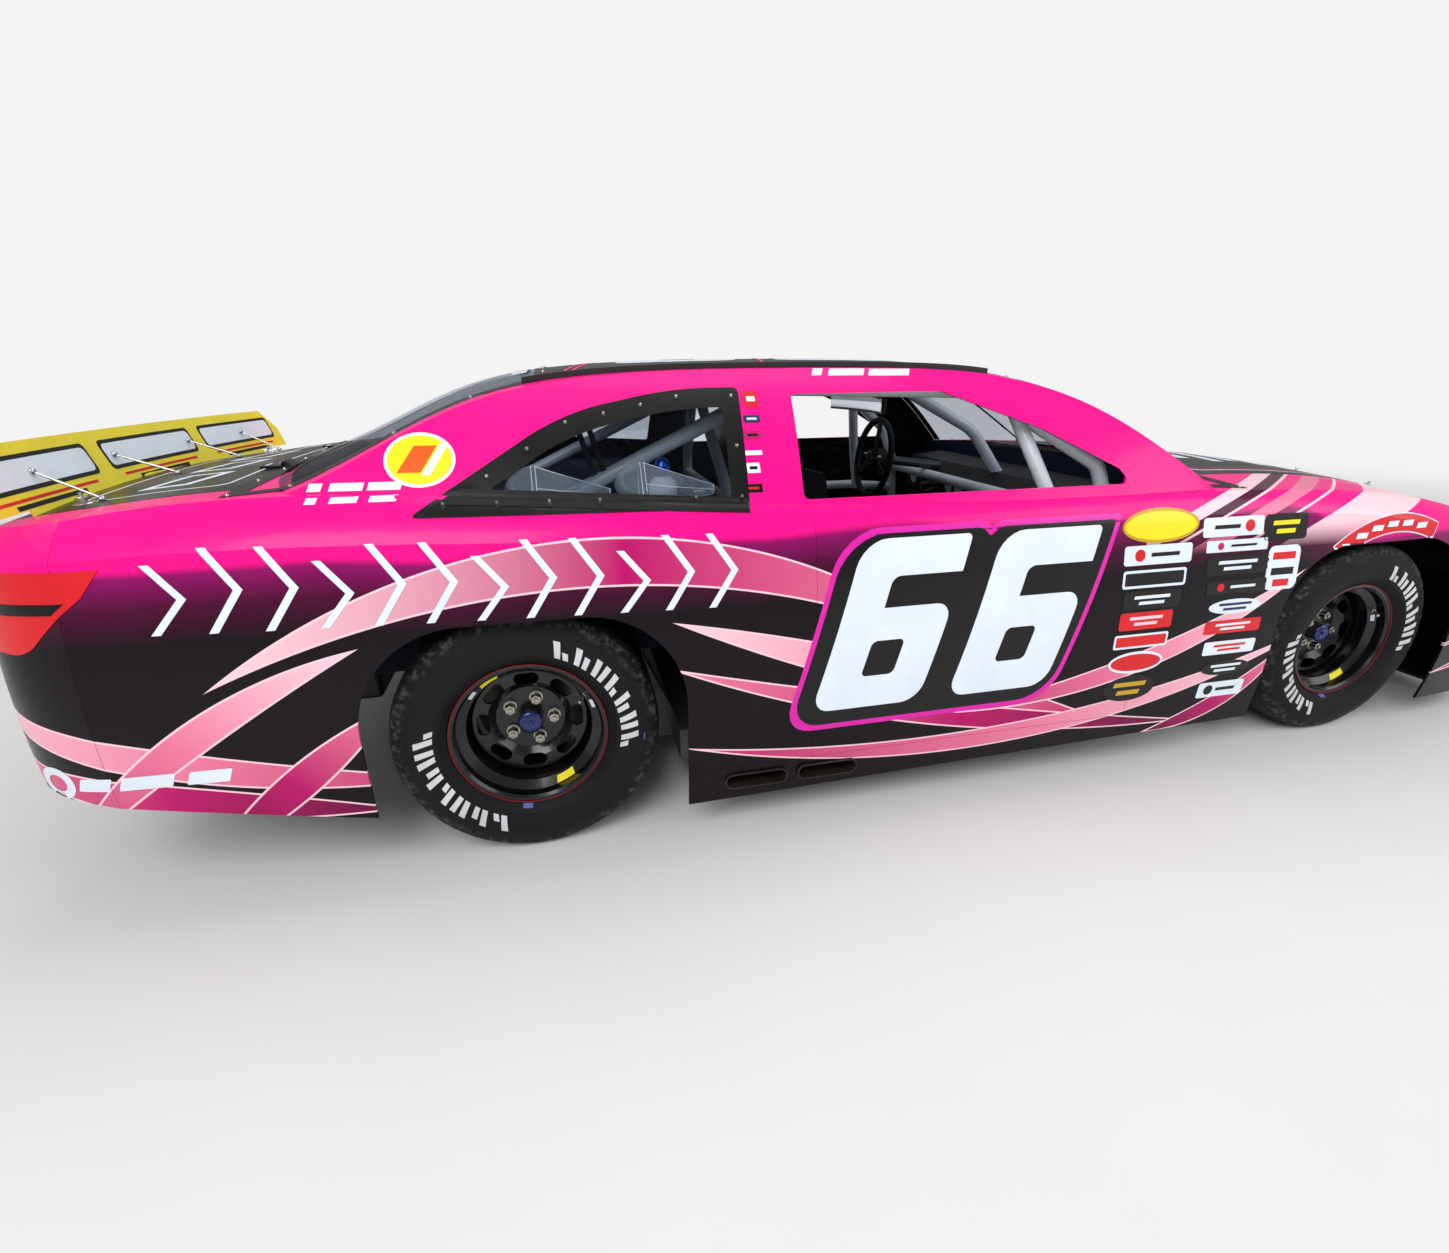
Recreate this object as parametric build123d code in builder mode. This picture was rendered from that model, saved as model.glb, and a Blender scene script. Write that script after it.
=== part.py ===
# A full-size oval-track stock car on a 110 inch wheelbase: composite body panels over a tube frame, an open
# cabin behind the side openings, four slick tyres on steel rims, steered front wheels, a hood hinged at the
# cowl and a deck lid hinged at the rear glass that carries the tall blade.
# Millimetres. +X points to the nose, +Y to the driver's side, +Z up. Z = 0 is the floor under the tyres and
# X = 0 is halfway between the tail and the splitter's lip.
from build123d import *
from collections import namedtuple
from math import cos, hypot, radians, sin, tan
import os

# Driving dimensions of the whole car; beyond is a reach past every face, for cuts
tail_x = -2480
lip_x = 2480
nose_x = 2446
beyond = 1500
wheelbase = 2794
rear_axle_x = -1310
front_axle_x = rear_axle_x + wheelbase
skin = 8
seam = 0.8
lid_gap = 5
touch = 0.3

# Wheels and tyres
tyre_radius = 350
tyre_width = 288
tread_width = 244
shoulder_drop = 16
sidewall_bulge = 7
bead_radius = 196
bead_seat_inset = 13
wheel_y = 772
rim_width = 250
rim_lip_radius = 206
rim_lip_depth = 11
rim_drop_radius = 173
rim_drop_inset = 52
rim_slope = 14
rim_wall = 7
disc_offset = 15
disc_thickness = 9
disc_pilot_radius = 34
disc_dish = 20
disc_land = 30
disc_step = 22
slot_count = 8
slot_circle_radius = 126
slot_length = 66
slot_width = 34
stud_circle_radius = 63.5
stud_count = 5
nut_radius = 15
nut_height = 24
rotor_radius = 152
rotor_thickness = 32
rotor_offset = 88
hub_radius = 60
hub_cap_radius = 30
hub_cap_length = 34
spindle_radius = 22
running_fit = 0.06
caliper_radius = 161
caliper_half_height = 75
caliper_inner_radius = 100
caliper_cheek = 20
caliper_bracket = 14
spindle_tip = -14
spindle_bore_end = -10
rotor_clearance = 3

# Steering
kingpin_y = 640
kingpin_radius = 12
kingpin_half = 135
arm_eye_radius = 22
arm_eye_height = 24
arm_tube_radius = 10
arm_eye_gap = 3
arm_spread = 140
upright_half_width = 30
upright_depth = 36
upright_half_height = 104
upright_boss = 18
steering_wheel_x = 245
steering_wheel_y = 400
steering_wheel_z = 880
steering_wheel_radius = 182
steering_rim_radius = 14
steering_hub_radius = 46
steering_hub_length = 50
spoke_width = 34
spoke_thickness = 6
spoke_count = 3
column_tilt = 8
column_radius = 20

# Seams between the panels, and the lids
nose_seam_x = 2110
tail_seam_x = -2235
door_front_x = 525
door_rear_x = -535
cowl_front_x = 940
skirt_top_z = 212
skirt_reach = 900
hood_half_rear = 660
hood_half_front = 560
deck_front_x = -1945
deck_half_width = 690
deck_lip_z = 925
nose_bottom_z = 92
hinge_y = 300
barrel_radius = 8
barrel_half = 35
leaf_length = 60
leaf_thickness = 4
lid_floor_z = 600

# Arches: openings with upright sides and rounded upper corners
front_arch_x = front_axle_x - 22
front_arch_width = 834
front_arch_top = 722
rear_arch_x = rear_axle_x + 15
rear_arch_width = 800
rear_arch_top = 692
arch_corner = 255

# Frame
frame_bottom_z = 120
frame_top_z = 222
side_rail_y = 662
side_rail_width = 76
front_rail_y = 330
front_rail_low_z = 150
front_rail_high_z = 252
rear_rail_y = 502
rear_rail_top_z = 516
rear_rail_tail_z = 470
rail_wall = 76
rear_member_x = -880
front_member_x = 950
tail_member_x = -2330
front_end_x = 2150
front_end_depth = 50
front_end_half = 420
tower_half_length = 160
tower_wall = 20
tower_cap_y = 545
tower_cap_half = 62
floor_thickness = 3
tunnel_half_width = 122
tunnel_top_z = 400
firewall_x = 760
bulkhead_x = -800
shelf_z = 868
shelf_rear_x = -1930

# Cage of round tube: the hoop's points are (y, z), the others (x, y, z) on the driver's side or in the middle
cage_radius = 22.25
cage_bend = 110
post_bend = 60
middle_bend = 200
hoop_x = -560
hoop_foot_y = 700
hoop_waist = (770, 870)
hoop_top = (560, 1222)
hoop_cross = (760, 800)
hoop_diagonal = [(-700, 420), (520, 1200)]
roof_bar_start = (545, 1212)
leg_points = [(140, 572, 1196), (454, 745, 979), (508, 752, 850)]
leg_foot = (560, 722)
vent_points = [(222, 620, 1140), (300, 752, 880), (330, 760, 690)]
middle_points = [(150, 0, 1196), (483, 0, 1028), (700, 0, 757)]
dash_bar = (515, 745, 799)
stay_top = (540, 1200)
stay_foot = (-1330, 560)
stay_sink = 30
door_bar_heights = (330, 450, 570, 690)
door_bar_y = 858
door_bar_end_y = 735
door_bar_bend_x = 330
# Roof fins, window boxes, blade, grille and splitter
roof_rail_y = 556
roof_rail_width = 10
roof_rail_height = 14
roof_rail_rear_x = -1250
roof_rail_front_x = 150
duct_rear_edges = (-1310, -1038)
duct_length = 262
duct_out_y = 840
duct_depth = 110
duct_z = 925
duct_height = 118
duct_wall = 3
blade_foot_z = 930
blade_top_z = 1113
blade_rake = 62
blade_middle_x = -2384
blade_end_x = -2326
blade_half_width = 900
blade_thickness = 5
blade_corner = 78
blade_wing_z = 968
grille_x = 2404
grille_thickness = 10
grille_half_width = 480
grille_low_z = 190
grille_high_z = 400
grille_taper = 40
grille_pitch_y = 80
grille_pitch_z = 52
grille_columns = 12
grille_rows = 4
grille_bar = 8
grille_margin = 40
splitter_thickness = 12
splitter_edge = [(2130, 925), (2300, 868), (2380, 800)]

# Tow eye under the tail, springs and exhaust
tow_x = -2300
tow_z = 300
tow_eye_radius = 20
tow_eye_wall = 20
tow_plate = 12
front_spring_top_z = 600
rear_spring_top_z = 620
spring_bar_half = 32
spring_post_wall = 12
exhaust_outlets_x = (-700, -485)
exhaust_slot = 184
exhaust_height = 46
exhaust_z = 166
exhaust_wall = 3
pipe_clearance = 6
pipe_radius = 31
pipe_bend = 120
pipe_start_x = 840
pipe_y = 260
box_start_y = 500

# Engine, driveline, seat and rear suspension
engine_rear_x = 960
engine_front_x = 1520
engine_half_width = 170
engine_low_z = 200
engine_deck_z = 470
engine_top_z = 690
head_inset = 20
manifold_inset = 70
manifold_half_width = 110
mount_inset = 220
mount_length = 70
mount_z = 205
mount_height = 30
radiator_inset = 5
radiator_depth = 40
radiator_half_width = 330
radiator_top_z = 600
radiator_rim = 30
fin_pitch = 18
fin_rows = 17
fin_depth = 6
fuel_cell_x = (-2220, -1800)
fuel_cell_half = 340
fuel_cell_z = (250, 480)
fuel_cell_corner = 20
fuel_strap_x = (-2150, -1910)
fuel_strap_width = 50
fuel_strap_z = (452, 462)
gearbox_rear_x = 500
gearbox_z = 310
gearbox_radius = 84
shaft_radius = 38
pinion_x = -1120
seat_y = 400
seat_half_width = 235
seat_wall = 26
seat_corner = 12
runner_width = 40
runner_x = (-300, 100)
runner_top_z = 275
dash_face_x = 566
dash_top_z = 872
dash_edge_z = 812
dash_low_z = 640
dash_wall = 4
dash_half_width = 680
exhaust_end_y = 972
axle_tube_radius = 42
diff_radius = 150
diff_half_width = 110
rear_spring_y = 425
spring_radius = 48
spring_turns = 7
spring_groove = 10
front_spring_y = 480
spring_seat_half = 40
spring_seat_rise = 11
spring_seat_wall = 8
spring_pad_half = 55
spring_pad_rise = 48
diff_corner = 40
pinion_half = 45
trail_radius = 18
trail_front = (450, 170)
trail_rear = (560, 300)

# The side view's outline, which trims the skin: the faces of tail and nose move inward with a wall, and the
# points marked lowers drop away, which leaves the inside open below.
TrimPoint = namedtuple("TrimPoint", "x z inward lowers")
trim_line = [
    TrimPoint(tail_x + 40, 352, 1, 1),
    TrimPoint(tail_x, 640, 1, 0),
    TrimPoint(tail_x + 118, 1100, 1, 0),
    TrimPoint(2330, 1100, -1, 0),
    TrimPoint(nose_x, 470, -1, 0),
    TrimPoint(nose_x, nose_bottom_z, -1, 1),
    TrimPoint(1880, nose_bottom_z, 0, 1),
    TrimPoint(1880, 120, 0, 1),
    TrimPoint(1045, 138, 0, 1),
    TrimPoint(-890, 100, 0, 1),
    TrimPoint(-1690, 198, 0, 1),
]
trim_drop = 150

# Outer skin, one row for each cross-section. Flank: an arc from the bottom edge through the widest point to the
# shoulder crease. Shoulder: an arc that stands proud of its chord by the bulge. Crown: an arc over the middle.
Section = namedtuple("Section", "x z_bottom y_bottom z_wide y_wide z_crease y_crease z_edge y_edge z_crown bulge")
tail_seam = Section(tail_seam_x, 100, 918, 590, 946, 884, 900, 960, 818, 988, 6)
nose_seam = Section(nose_seam_x, 80, 915, 430, 938, 652, 900, 728, 812, 790, 12)
tail_sections = [
    Section(tail_x, 100, 640, 560, 690, 852, 640, 924, 590, 954, 6),
    Section(tail_x + 18, 100, 735, 562, 780, 856, 735, 930, 670, 960, 6),
    Section(tail_x + 55, 100, 810, 566, 850, 862, 805, 938, 738, 967, 6),
    Section(tail_x + 120, 100, 868, 575, 905, 872, 858, 947, 785, 976, 6),
    tail_seam,
]
main_sections = [
    tail_seam,
    Section(rear_axle_x, 90, 950, 545, 976, 880, 926, 974, 845, 1010, 7),
    Section(door_rear_x, 90, 950, 520, 975, 850, 932, 922, 886, 980, 5),
    Section(door_front_x, 90, 950, 520, 973, 845, 932, 905, 888, 952, 5),
    Section(front_axle_x, 90, 950, 490, 976, 798, 940, 866, 868, 912, 9),
    nose_seam,
]
nose_sections = [
    nose_seam,
    Section(2240, 80, 852, 410, 876, 606, 838, 680, 752, 740, 12),
    Section(2340, 80, 758, 390, 780, 560, 744, 632, 664, 690, 12),
    Section(2400, 80, 640, 370, 660, 515, 628, 584, 562, 636, 10),
    Section(2432, 80, 500, 355, 520, 476, 494, 540, 446, 582, 8),
    Section(nose_x, 80, 380, 345, 400, 450, 380, 505, 345, 535, 6),
]

# Roof, pillars and glass as one hull, one row for each cross-section: the rail is the corner between the side
# glass and the roof, and it runs down both pillars.
RoofSection = namedtuple("RoofSection", "x y_base z_base y_rail z_rail z_crown bulge")
roof_sections = [
    RoofSection(-2060, 862, 830, 848, 880, 945, 0.5),
    RoofSection(-1784, 880, 890, 788, 1000, 1072, 1),
    RoofSection(-1566, 885, 895, 715, 1106, 1172, 5),
    RoofSection(-1378, 885, 895, 655, 1188, 1240, 10),
    RoofSection(-1100, 885, 895, 606, 1243, 1282, 13),
    RoofSection(-600, 885, 895, 586, 1264, 1299, 14),
    RoofSection(-100, 885, 895, 590, 1260, 1297, 14),
    RoofSection(204, 885, 895, 612, 1232, 1272, 12),
    RoofSection(473, 886, 892, 696, 1140, 1192, 7),
    RoofSection(640, 890, 870, 786, 1030, 1106, 3),
    RoofSection(776, 896, 825, 866, 918, 1022, 1),
    RoofSection(940, 908, 760, 900, 800, 918, 0.5),
]

# Cylinder heads as (y, z), and the seat's outline and hollow as (x, z)
head_line = [(60, 400), (300, 560), (250, 700), (20, 560)]
seat_line = [
    (150, 262),
    (150, 430),
    (20, 470),
    (-110, 500),
    (-150, 640),
    (-60, 720),
    (-80, 850),
    (-270, 900),
    (-210, 960),
    (-230, 1070),
    (-470, 1070),
    (-450, 700),
    (-360, 250),
]
seat_hollow = [(300, 330), (-255, 290), (-345, 560), (-400, 860), (-420, 1200), (300, 1200)]
# Windows: side openings as (x, z) outlines, front and rear glass as half outlines (x, y) from above
door_opening = [(-545, 935), (-522, 1197), (-53, 1199), (235, 1094), (462, 978), (488, 935)]
quarter_opening = [(-1489, 950), (-706, 935), (-683, 1205), (-850, 1205), (-1152, 1147)]
windshield_edge = [(225, 562), (473, 648), (800, 836), (1000, 880)]
rear_glass_edge = [(-1190, 566), (-1378, 606), (-1566, 664), (-1800, 742), (-2000, 800)]
window_corner = 16
glass_floor_z = 800


def side_prism(points, y_low, y_high, corner=0):
    """A prism along Y on a closed outline of (x, z) points, its corners rounded alike."""
    with BuildPart() as prism:
        with BuildSketch(Plane.XZ.offset(-y_high)) as outline:
            with BuildLine():
                Polyline(*points, close=True)
            make_face()
            if corner:
                fillet(outline.vertices(), corner)
        extrude(amount=y_high - y_low)
    return prism.part


def plan_prism(points, z_low, z_high, corner=0):
    """A prism along Z on a closed outline of (x, y) points, its corners rounded alike."""
    with BuildPart() as prism:
        with BuildSketch(Plane.XY.offset(z_low)) as outline:
            with BuildLine():
                Polyline(*points, close=True)
            make_face()
            if corner:
                fillet(outline.vertices(), corner)
        extrude(amount=z_high - z_low)
    return prism.part


def cross_prism(points, x_low, x_high):
    """A prism along X on a closed outline of (y, z) points."""
    with BuildPart() as prism:
        with BuildSketch(Plane.YZ.offset(x_low)):
            with BuildLine():
                Polyline(*points, close=True)
            make_face()
        extrude(amount=x_high - x_low)
    return prism.part


def block(x_low, x_high, y_low, y_high, z_low, z_high):
    """A rectangular block between two corners."""
    outline = [(x_low, y_low), (x_high, y_low), (x_high, y_high), (x_low, y_high)]
    return plan_prism(outline, z_low, z_high)


def panel_zone(x_low, x_high):
    """Everything between two seams of the body."""
    return block(x_low, x_high, -beyond, beyond, 0, beyond)
def both_sides(half_outline):
    """A closed outline from its half at positive y and the mirror image."""
    return half_outline + [(x, -y) for x, y in reversed(half_outline)]


def both_flanks(half_line):
    """A closed outline of (out, radius) points from its outboard half and the mirror image."""
    return half_line + [(-out, radius) for out, radius in reversed(half_line)]
def tube(points, radius, bend=cage_bend):
    """A round bar along straight runs joined by arcs."""
    with BuildPart() as bar:
        with BuildLine() as route:
            if len(points) > 2:
                FilletPolyline(*points, radius=bend)
            else:
                Line(*points)
        with BuildSketch(Plane(origin=route.line @ 0, z_dir=route.line % 0)):
            Circle(radius)
        sweep()
    return bar.part


def bulged(start, end, bulge):
    """The middle of a chord, pushed out to its right by the bulge."""
    run = Vector(end[0] - start[0], end[1] - start[1])
    middle = Vector((start[0] + end[0]) / 2, (start[1] + end[1]) / 2)
    out = Vector(run.Y, -run.X).normalized() * bulge
    return ((middle + out).X, (middle + out).Y)


def body_hull(sections, inset=0):
    """A closed hull through cross-sections of the lower body, drawn in by the inset."""
    with BuildPart() as hull:
        for s in sections:
            with BuildSketch(Plane.YZ.offset(s.x)):
                with BuildLine():
                    low = (s.y_bottom - inset, s.z_bottom)
                    wide = (s.y_wide - inset, s.z_wide)
                    crease = (s.y_crease - inset, s.z_crease - inset / 4)
                    edge = (s.y_edge - inset / 2, s.z_edge - inset)
                    proud = bulged(crease, edge, s.bulge)
                    ThreePointArc(low, wide, crease)
                    ThreePointArc(crease, proud, edge)
                    ThreePointArc(edge, (0, s.z_crown - inset), (-edge[0], edge[1]))
                    ThreePointArc((-edge[0], edge[1]), (-proud[0], proud[1]), (-crease[0], crease[1]))
                    ThreePointArc((-crease[0], crease[1]), (-wide[0], wide[1]), (-low[0], low[1]))
                    Line((-low[0], low[1]), low)
                make_face()
        loft()
    return hull.part


def roof_hull(inset=0):
    """The closed hull of roof, pillars and glass, drawn in by the inset, or pushed out if it is negative."""
    with BuildPart() as hull:
        for s in roof_sections:
            with BuildSketch(Plane.YZ.offset(s.x)):
                with BuildLine():
                    base = (s.y_base - inset, s.z_base)
                    rail = (s.y_rail - inset, s.z_rail - inset)
                    proud = bulged(base, rail, s.bulge)
                    ThreePointArc(base, proud, rail)
                    ThreePointArc(rail, (0, s.z_crown - inset), (-rail[0], rail[1]))
                    ThreePointArc((-rail[0], rail[1]), (-proud[0], proud[1]), (-base[0], base[1]))
                    Line((-base[0], base[1]), base)
                make_face()
        loft()
    return hull.part


def side_profile(inset=0):
    """The car's outline from the side, which trims the hull: drawn in by the inset, and then open below."""
    drop = trim_drop if inset else 0
    outline = [(p.x + p.inward * inset, p.z - p.lowers * drop) for p in trim_line]
    return side_prism(outline, -beyond, beyond)
def arch_prism(centre_x, width, top_z):
    """What a wheel arch takes out of the flanks."""
    with BuildPart() as arch:
        with BuildSketch(Plane.XZ.offset(-beyond)) as outline:
            with Locations((centre_x, top_z / 2 - arch_corner)):
                Rectangle(width, top_z + 2 * arch_corner)
            fillet(outline.vertices().group_by(Axis.Y)[-1], arch_corner)
        extrude(amount=2 * beyond)
    return arch.part
def hub_plane(axle_x, side, out=0):
    """A plane through a wheel's centre whose x runs outward along the axle and whose y runs up."""
    centre = (axle_x, side * (wheel_y + out), tyre_radius)
    return Plane(origin=centre, x_dir=(0, side, 0), z_dir=(side, 0, 0))


def face_plane(axle_x, side, out):
    """A plane square to the axle, facing outward, so far outboard of the wheel's middle."""
    return Plane(origin=(axle_x, side * (wheel_y + out), tyre_radius), x_dir=(1, 0, 0), z_dir=(0, side, 0))


def ring(axle_x, side, inner, outer, out_from, out_to):
    """A ring about an axle between two distances outboard of the wheel's middle."""
    with BuildPart() as hoop:
        with BuildSketch(face_plane(axle_x, side, out_from)):
            Circle(outer)
            if inner:
                Circle(inner, mode=Mode.SUBTRACT)
        extrude(amount=out_to - out_from)
    return hoop.part


def carrier(axle_x, side):
    """The upright, spindle and brake caliper at one wheel."""
    inner_face = kingpin_y - upright_depth / 2 - wheel_y
    outer_face = inner_face + upright_depth
    rotor_in = -rotor_offset - rotor_thickness / 2
    rotor_out = rotor_in + rotor_thickness
    with BuildPart() as upright:
        with BuildSketch(face_plane(axle_x, side, inner_face)):
            Rectangle(2 * upright_half_width, 2 * upright_half_height)
            Circle(upright_half_width + upright_boss)
        extrude(amount=upright_depth)
        add(ring(axle_x, side, 0, spindle_radius, outer_face - rotor_clearance, spindle_tip))
        with BuildSketch(face_plane(axle_x, side, inner_face)):
            with Locations((caliper_radius / 2, 0)):
                Rectangle(caliper_radius, 2 * caliper_half_height)
            Circle(caliper_radius, mode=Mode.INTERSECT)
            Circle(caliper_inner_radius, mode=Mode.SUBTRACT)
        extrude(amount=rotor_out + caliper_cheek - inner_face)
        rotor_space = (rotor_in - rotor_clearance, rotor_out + rotor_clearance)
        add(
            ring(axle_x, side, spindle_radius, rotor_radius + rotor_clearance, *rotor_space),
            mode=Mode.SUBTRACT,
        )
        with BuildSketch(face_plane(axle_x, side, inner_face)):
            with Locations((caliper_radius / 2, 0)):
                Rectangle(caliper_radius - 2 * rotor_clearance, 2 * caliper_cheek)
        extrude(amount=caliper_bracket)
    return upright.part


os.makedirs("parts", exist_ok=True)

# Hulls: outside and inside of the skin, and the space that the moving lids and the blade keep clear
all_sections = (tail_sections, main_sections, nose_sections)
with BuildPart() as body_outer:
    for sections in all_sections:
        add(body_hull(sections))
    add(side_profile(), mode=Mode.INTERSECT)
with BuildPart() as body_inner:
    for sections in all_sections:
        add(body_hull(sections, skin))
    add(side_profile(skin), mode=Mode.INTERSECT)
with BuildPart() as body_cavity:
    for sections in all_sections:
        add(body_hull(sections, skin + touch))
    add(side_profile(skin + touch), mode=Mode.INTERSECT)
roof_outer = roof_hull()
roof_inner = roof_hull(skin)
roof_cavity = roof_hull(skin + touch)

with BuildPart() as body_shell:
    add(body_outer.part)
    add(body_inner.part, mode=Mode.SUBTRACT)
    add(roof_inner, mode=Mode.SUBTRACT)
    add(arch_prism(front_arch_x, front_arch_width, front_arch_top), mode=Mode.SUBTRACT)
    add(arch_prism(rear_arch_x, rear_arch_width, rear_arch_top), mode=Mode.SUBTRACT)
with BuildPart() as cabin_shell:
    add(roof_outer)
    add(roof_inner, mode=Mode.SUBTRACT)
    add(body_outer.part, mode=Mode.SUBTRACT)

# What the lids and the skirts take out of the panels
skirt_span = (rear_arch_x, front_arch_x)
skirt_zone = block(*skirt_span, -beyond, beyond, 0, skirt_top_z)
skirt_cut = block(*skirt_span, -beyond, beyond, 0, skirt_top_z + seam)
hood_edge = [(cowl_front_x + lid_gap, hood_half_rear), (nose_seam_x - lid_gap, hood_half_front)]
hood_zone = plan_prism(both_sides(hood_edge), lid_floor_z, beyond)
hood_cut_edge = [(cowl_front_x, hood_half_rear + lid_gap), (nose_seam_x, hood_half_front + lid_gap)]
hood_cut = plan_prism(both_sides(hood_cut_edge), lid_floor_z, beyond)
deck_zone = block(-2 * beyond, deck_front_x, -deck_half_width, deck_half_width, deck_lip_z + lid_gap, beyond)
deck_cut_half = deck_half_width + lid_gap
deck_cut = block(-2 * beyond, deck_front_x + lid_gap, -deck_cut_half, deck_cut_half, deck_lip_z, beyond)
# Fixed body panels
with BuildPart() as rear_bumper_cover:
    add(body_shell.part)
    add(panel_zone(-2 * beyond, tail_seam_x - seam), mode=Mode.INTERSECT)
    add(deck_cut, mode=Mode.SUBTRACT)
rear_bumper_cover.part.label = "rear_bumper_cover"
export_step(rear_bumper_cover.part, "parts/rear_bumper_cover.step")

with BuildPart() as quarter_panels:
    add(body_shell.part)
    add(panel_zone(tail_seam_x, door_rear_x - seam), mode=Mode.INTERSECT)
    add(deck_cut, mode=Mode.SUBTRACT)
    add(skirt_cut, mode=Mode.SUBTRACT)
quarter_panels.part.label = "quarter_panels"
export_step(quarter_panels.part, "parts/quarter_panels.step")

with BuildPart() as door_panels:
    add(body_shell.part)
    add(panel_zone(door_rear_x, door_front_x), mode=Mode.INTERSECT)
    add(skirt_cut, mode=Mode.SUBTRACT)
door_panels.part.label = "door_panels"
export_step(door_panels.part, "parts/door_panels.step")

with BuildPart() as front_fenders:
    add(body_shell.part)
    add(panel_zone(door_front_x + seam, nose_seam_x), mode=Mode.INTERSECT)
    add(hood_cut, mode=Mode.SUBTRACT)
    add(skirt_cut, mode=Mode.SUBTRACT)
front_fenders.part.label = "front_fenders"
export_step(front_fenders.part, "parts/front_fenders.step")

with BuildPart() as rocker_skirts:
    add(body_shell.part)
    add(skirt_zone, mode=Mode.INTERSECT)
    with BuildSketch(Plane.XZ.offset(skirt_reach)):
        with Locations(*[(outlet_x, exhaust_z) for outlet_x in exhaust_outlets_x]):
            SlotOverall(exhaust_slot + 2 * touch, exhaust_height + 2 * touch)
    extrude(amount=beyond - skirt_reach, mode=Mode.SUBTRACT)
rocker_skirts.part.label = "rocker_skirts"
export_step(rocker_skirts.part, "parts/rocker_skirts.step")

grille_outline = [
    (-grille_half_width, grille_low_z),
    (grille_half_width, grille_low_z),
    (grille_half_width - grille_taper, grille_high_z),
    (-grille_half_width + grille_taper, grille_high_z),
]
with BuildPart() as nose_cover:
    add(body_shell.part)
    add(panel_zone(nose_seam_x + seam, 2 * beyond), mode=Mode.INTERSECT)
    add(cross_prism(grille_outline, grille_x - grille_thickness, beyond * 2), mode=Mode.SUBTRACT)
nose_cover.part.label = "nose_cover"
export_step(nose_cover.part, "parts/nose_cover.step")


def skin_height(x, y):
    """How high the skin's outside stands above the floor at a point."""
    hits = body_outer.part.find_intersection_points(Axis((x, y, beyond), (0, 0, -1)))
    return max(point.Z for point, normal in hits)


def hinge_barrels(edge_x, toward):
    """Two hinge barrels on a lid's edge that stand just clear of the panel beside it."""
    with BuildPart() as barrels:
        for side in (-1, 1):
            axis_x = edge_x - toward * lid_gap / 2
            axis_z = skin_height(axis_x, hinge_y - barrel_half) + barrel_radius + touch
            low_z = axis_z - barrel_radius
            with BuildSketch(Plane.XZ.offset(-side * hinge_y - barrel_half)):
                with Locations((axis_x, axis_z)):
                    Circle(barrel_radius)
            extrude(amount=2 * barrel_half)
            leaf_x = sorted((edge_x, edge_x + toward * leaf_length))
            leaf_y = (side * hinge_y - barrel_half, side * hinge_y + barrel_half)
            add(block(*leaf_x, *leaf_y, low_z - skin / 2, low_z + leaf_thickness))
            root_x = sorted((axis_x, edge_x + toward))
            add(block(*root_x, *leaf_y, low_z, low_z + leaf_thickness))
    return barrels.part
with BuildPart() as hood:
    add(body_shell.part)
    add(hood_zone, mode=Mode.INTERSECT)
    add(hinge_barrels(cowl_front_x + lid_gap, 1))
hood.part.label = "hood"
export_step(hood.part, "parts/hood.step")

with BuildPart() as deck_lid:
    add(body_shell.part)
    add(deck_zone, mode=Mode.INTERSECT)
    add(hinge_barrels(deck_front_x, -1))
deck_lid.part.label = "deck_lid"
export_step(deck_lid.part, "parts/deck_lid.step")

# Roof with its pillars, and the glass in its openings
windshield_zone = plan_prism(both_sides(windshield_edge), glass_floor_z, beyond)
rear_glass_zone = plan_prism(both_sides(rear_glass_edge), glass_floor_z, beyond)
quarter_zone = side_prism(quarter_opening, -beyond, beyond, window_corner)
door_zone = side_prism(door_opening, -beyond, beyond, window_corner)
with BuildPart() as roof_shell:
    add(cabin_shell.part)
    for zone in (windshield_zone, rear_glass_zone, quarter_zone, door_zone):
        add(zone, mode=Mode.SUBTRACT)
roof_shell.part.label = "roof_shell"
export_step(roof_shell.part, "parts/roof_shell.step")

with BuildPart() as side_glass:
    add(cabin_shell.part)
    add(side_prism(quarter_opening, 0, beyond, window_corner), mode=Mode.INTERSECT)
    mirror(about=Plane.XZ)
with BuildPart() as windows:
    add(cabin_shell.part)
    add([windshield_zone, rear_glass_zone], mode=Mode.INTERSECT)
    add(side_glass.part)
windows.part.label = "windows"
export_step(windows.part, "parts/windows.step")

# Two low fins along the roof, outboard of its crown
roof_rail_zones = [
    block(roof_rail_rear_x, roof_rail_front_x, low_y, low_y + roof_rail_width, deck_lip_z, beyond)
    for low_y in (roof_rail_y, -roof_rail_y - roof_rail_width)
]
with BuildPart() as roof_rails:
    add(roof_hull(-roof_rail_height))
    add(roof_rail_zones, mode=Mode.INTERSECT)
    add(roof_outer, mode=Mode.SUBTRACT)
roof_rails.part.label = "roof_rails"
export_step(roof_rails.part, "parts/roof_rails.step")

# Two clear air boxes on the right quarter glass, open toward the glass
duct_low_y = -duct_out_y
duct_high_y = duct_low_y + duct_depth
with BuildPart() as window_ducts:
    for low_x in duct_rear_edges:
        add(block(low_x, low_x + duct_length, duct_low_y, duct_high_y, duct_z, duct_z + duct_height))
    for low_x in duct_rear_edges:
        hollow_x = (low_x + duct_wall, low_x + duct_length - duct_wall)
        hollow_z = (duct_z + duct_wall, duct_z + duct_height - duct_wall)
        add(block(*hollow_x, -beyond, duct_high_y - duct_wall, *hollow_z), mode=Mode.SUBTRACT)
    add(roof_cavity, mode=Mode.INTERSECT)
window_ducts.part.label = "window_ducts"
export_step(window_ducts.part, "parts/window_ducts.step")
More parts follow.
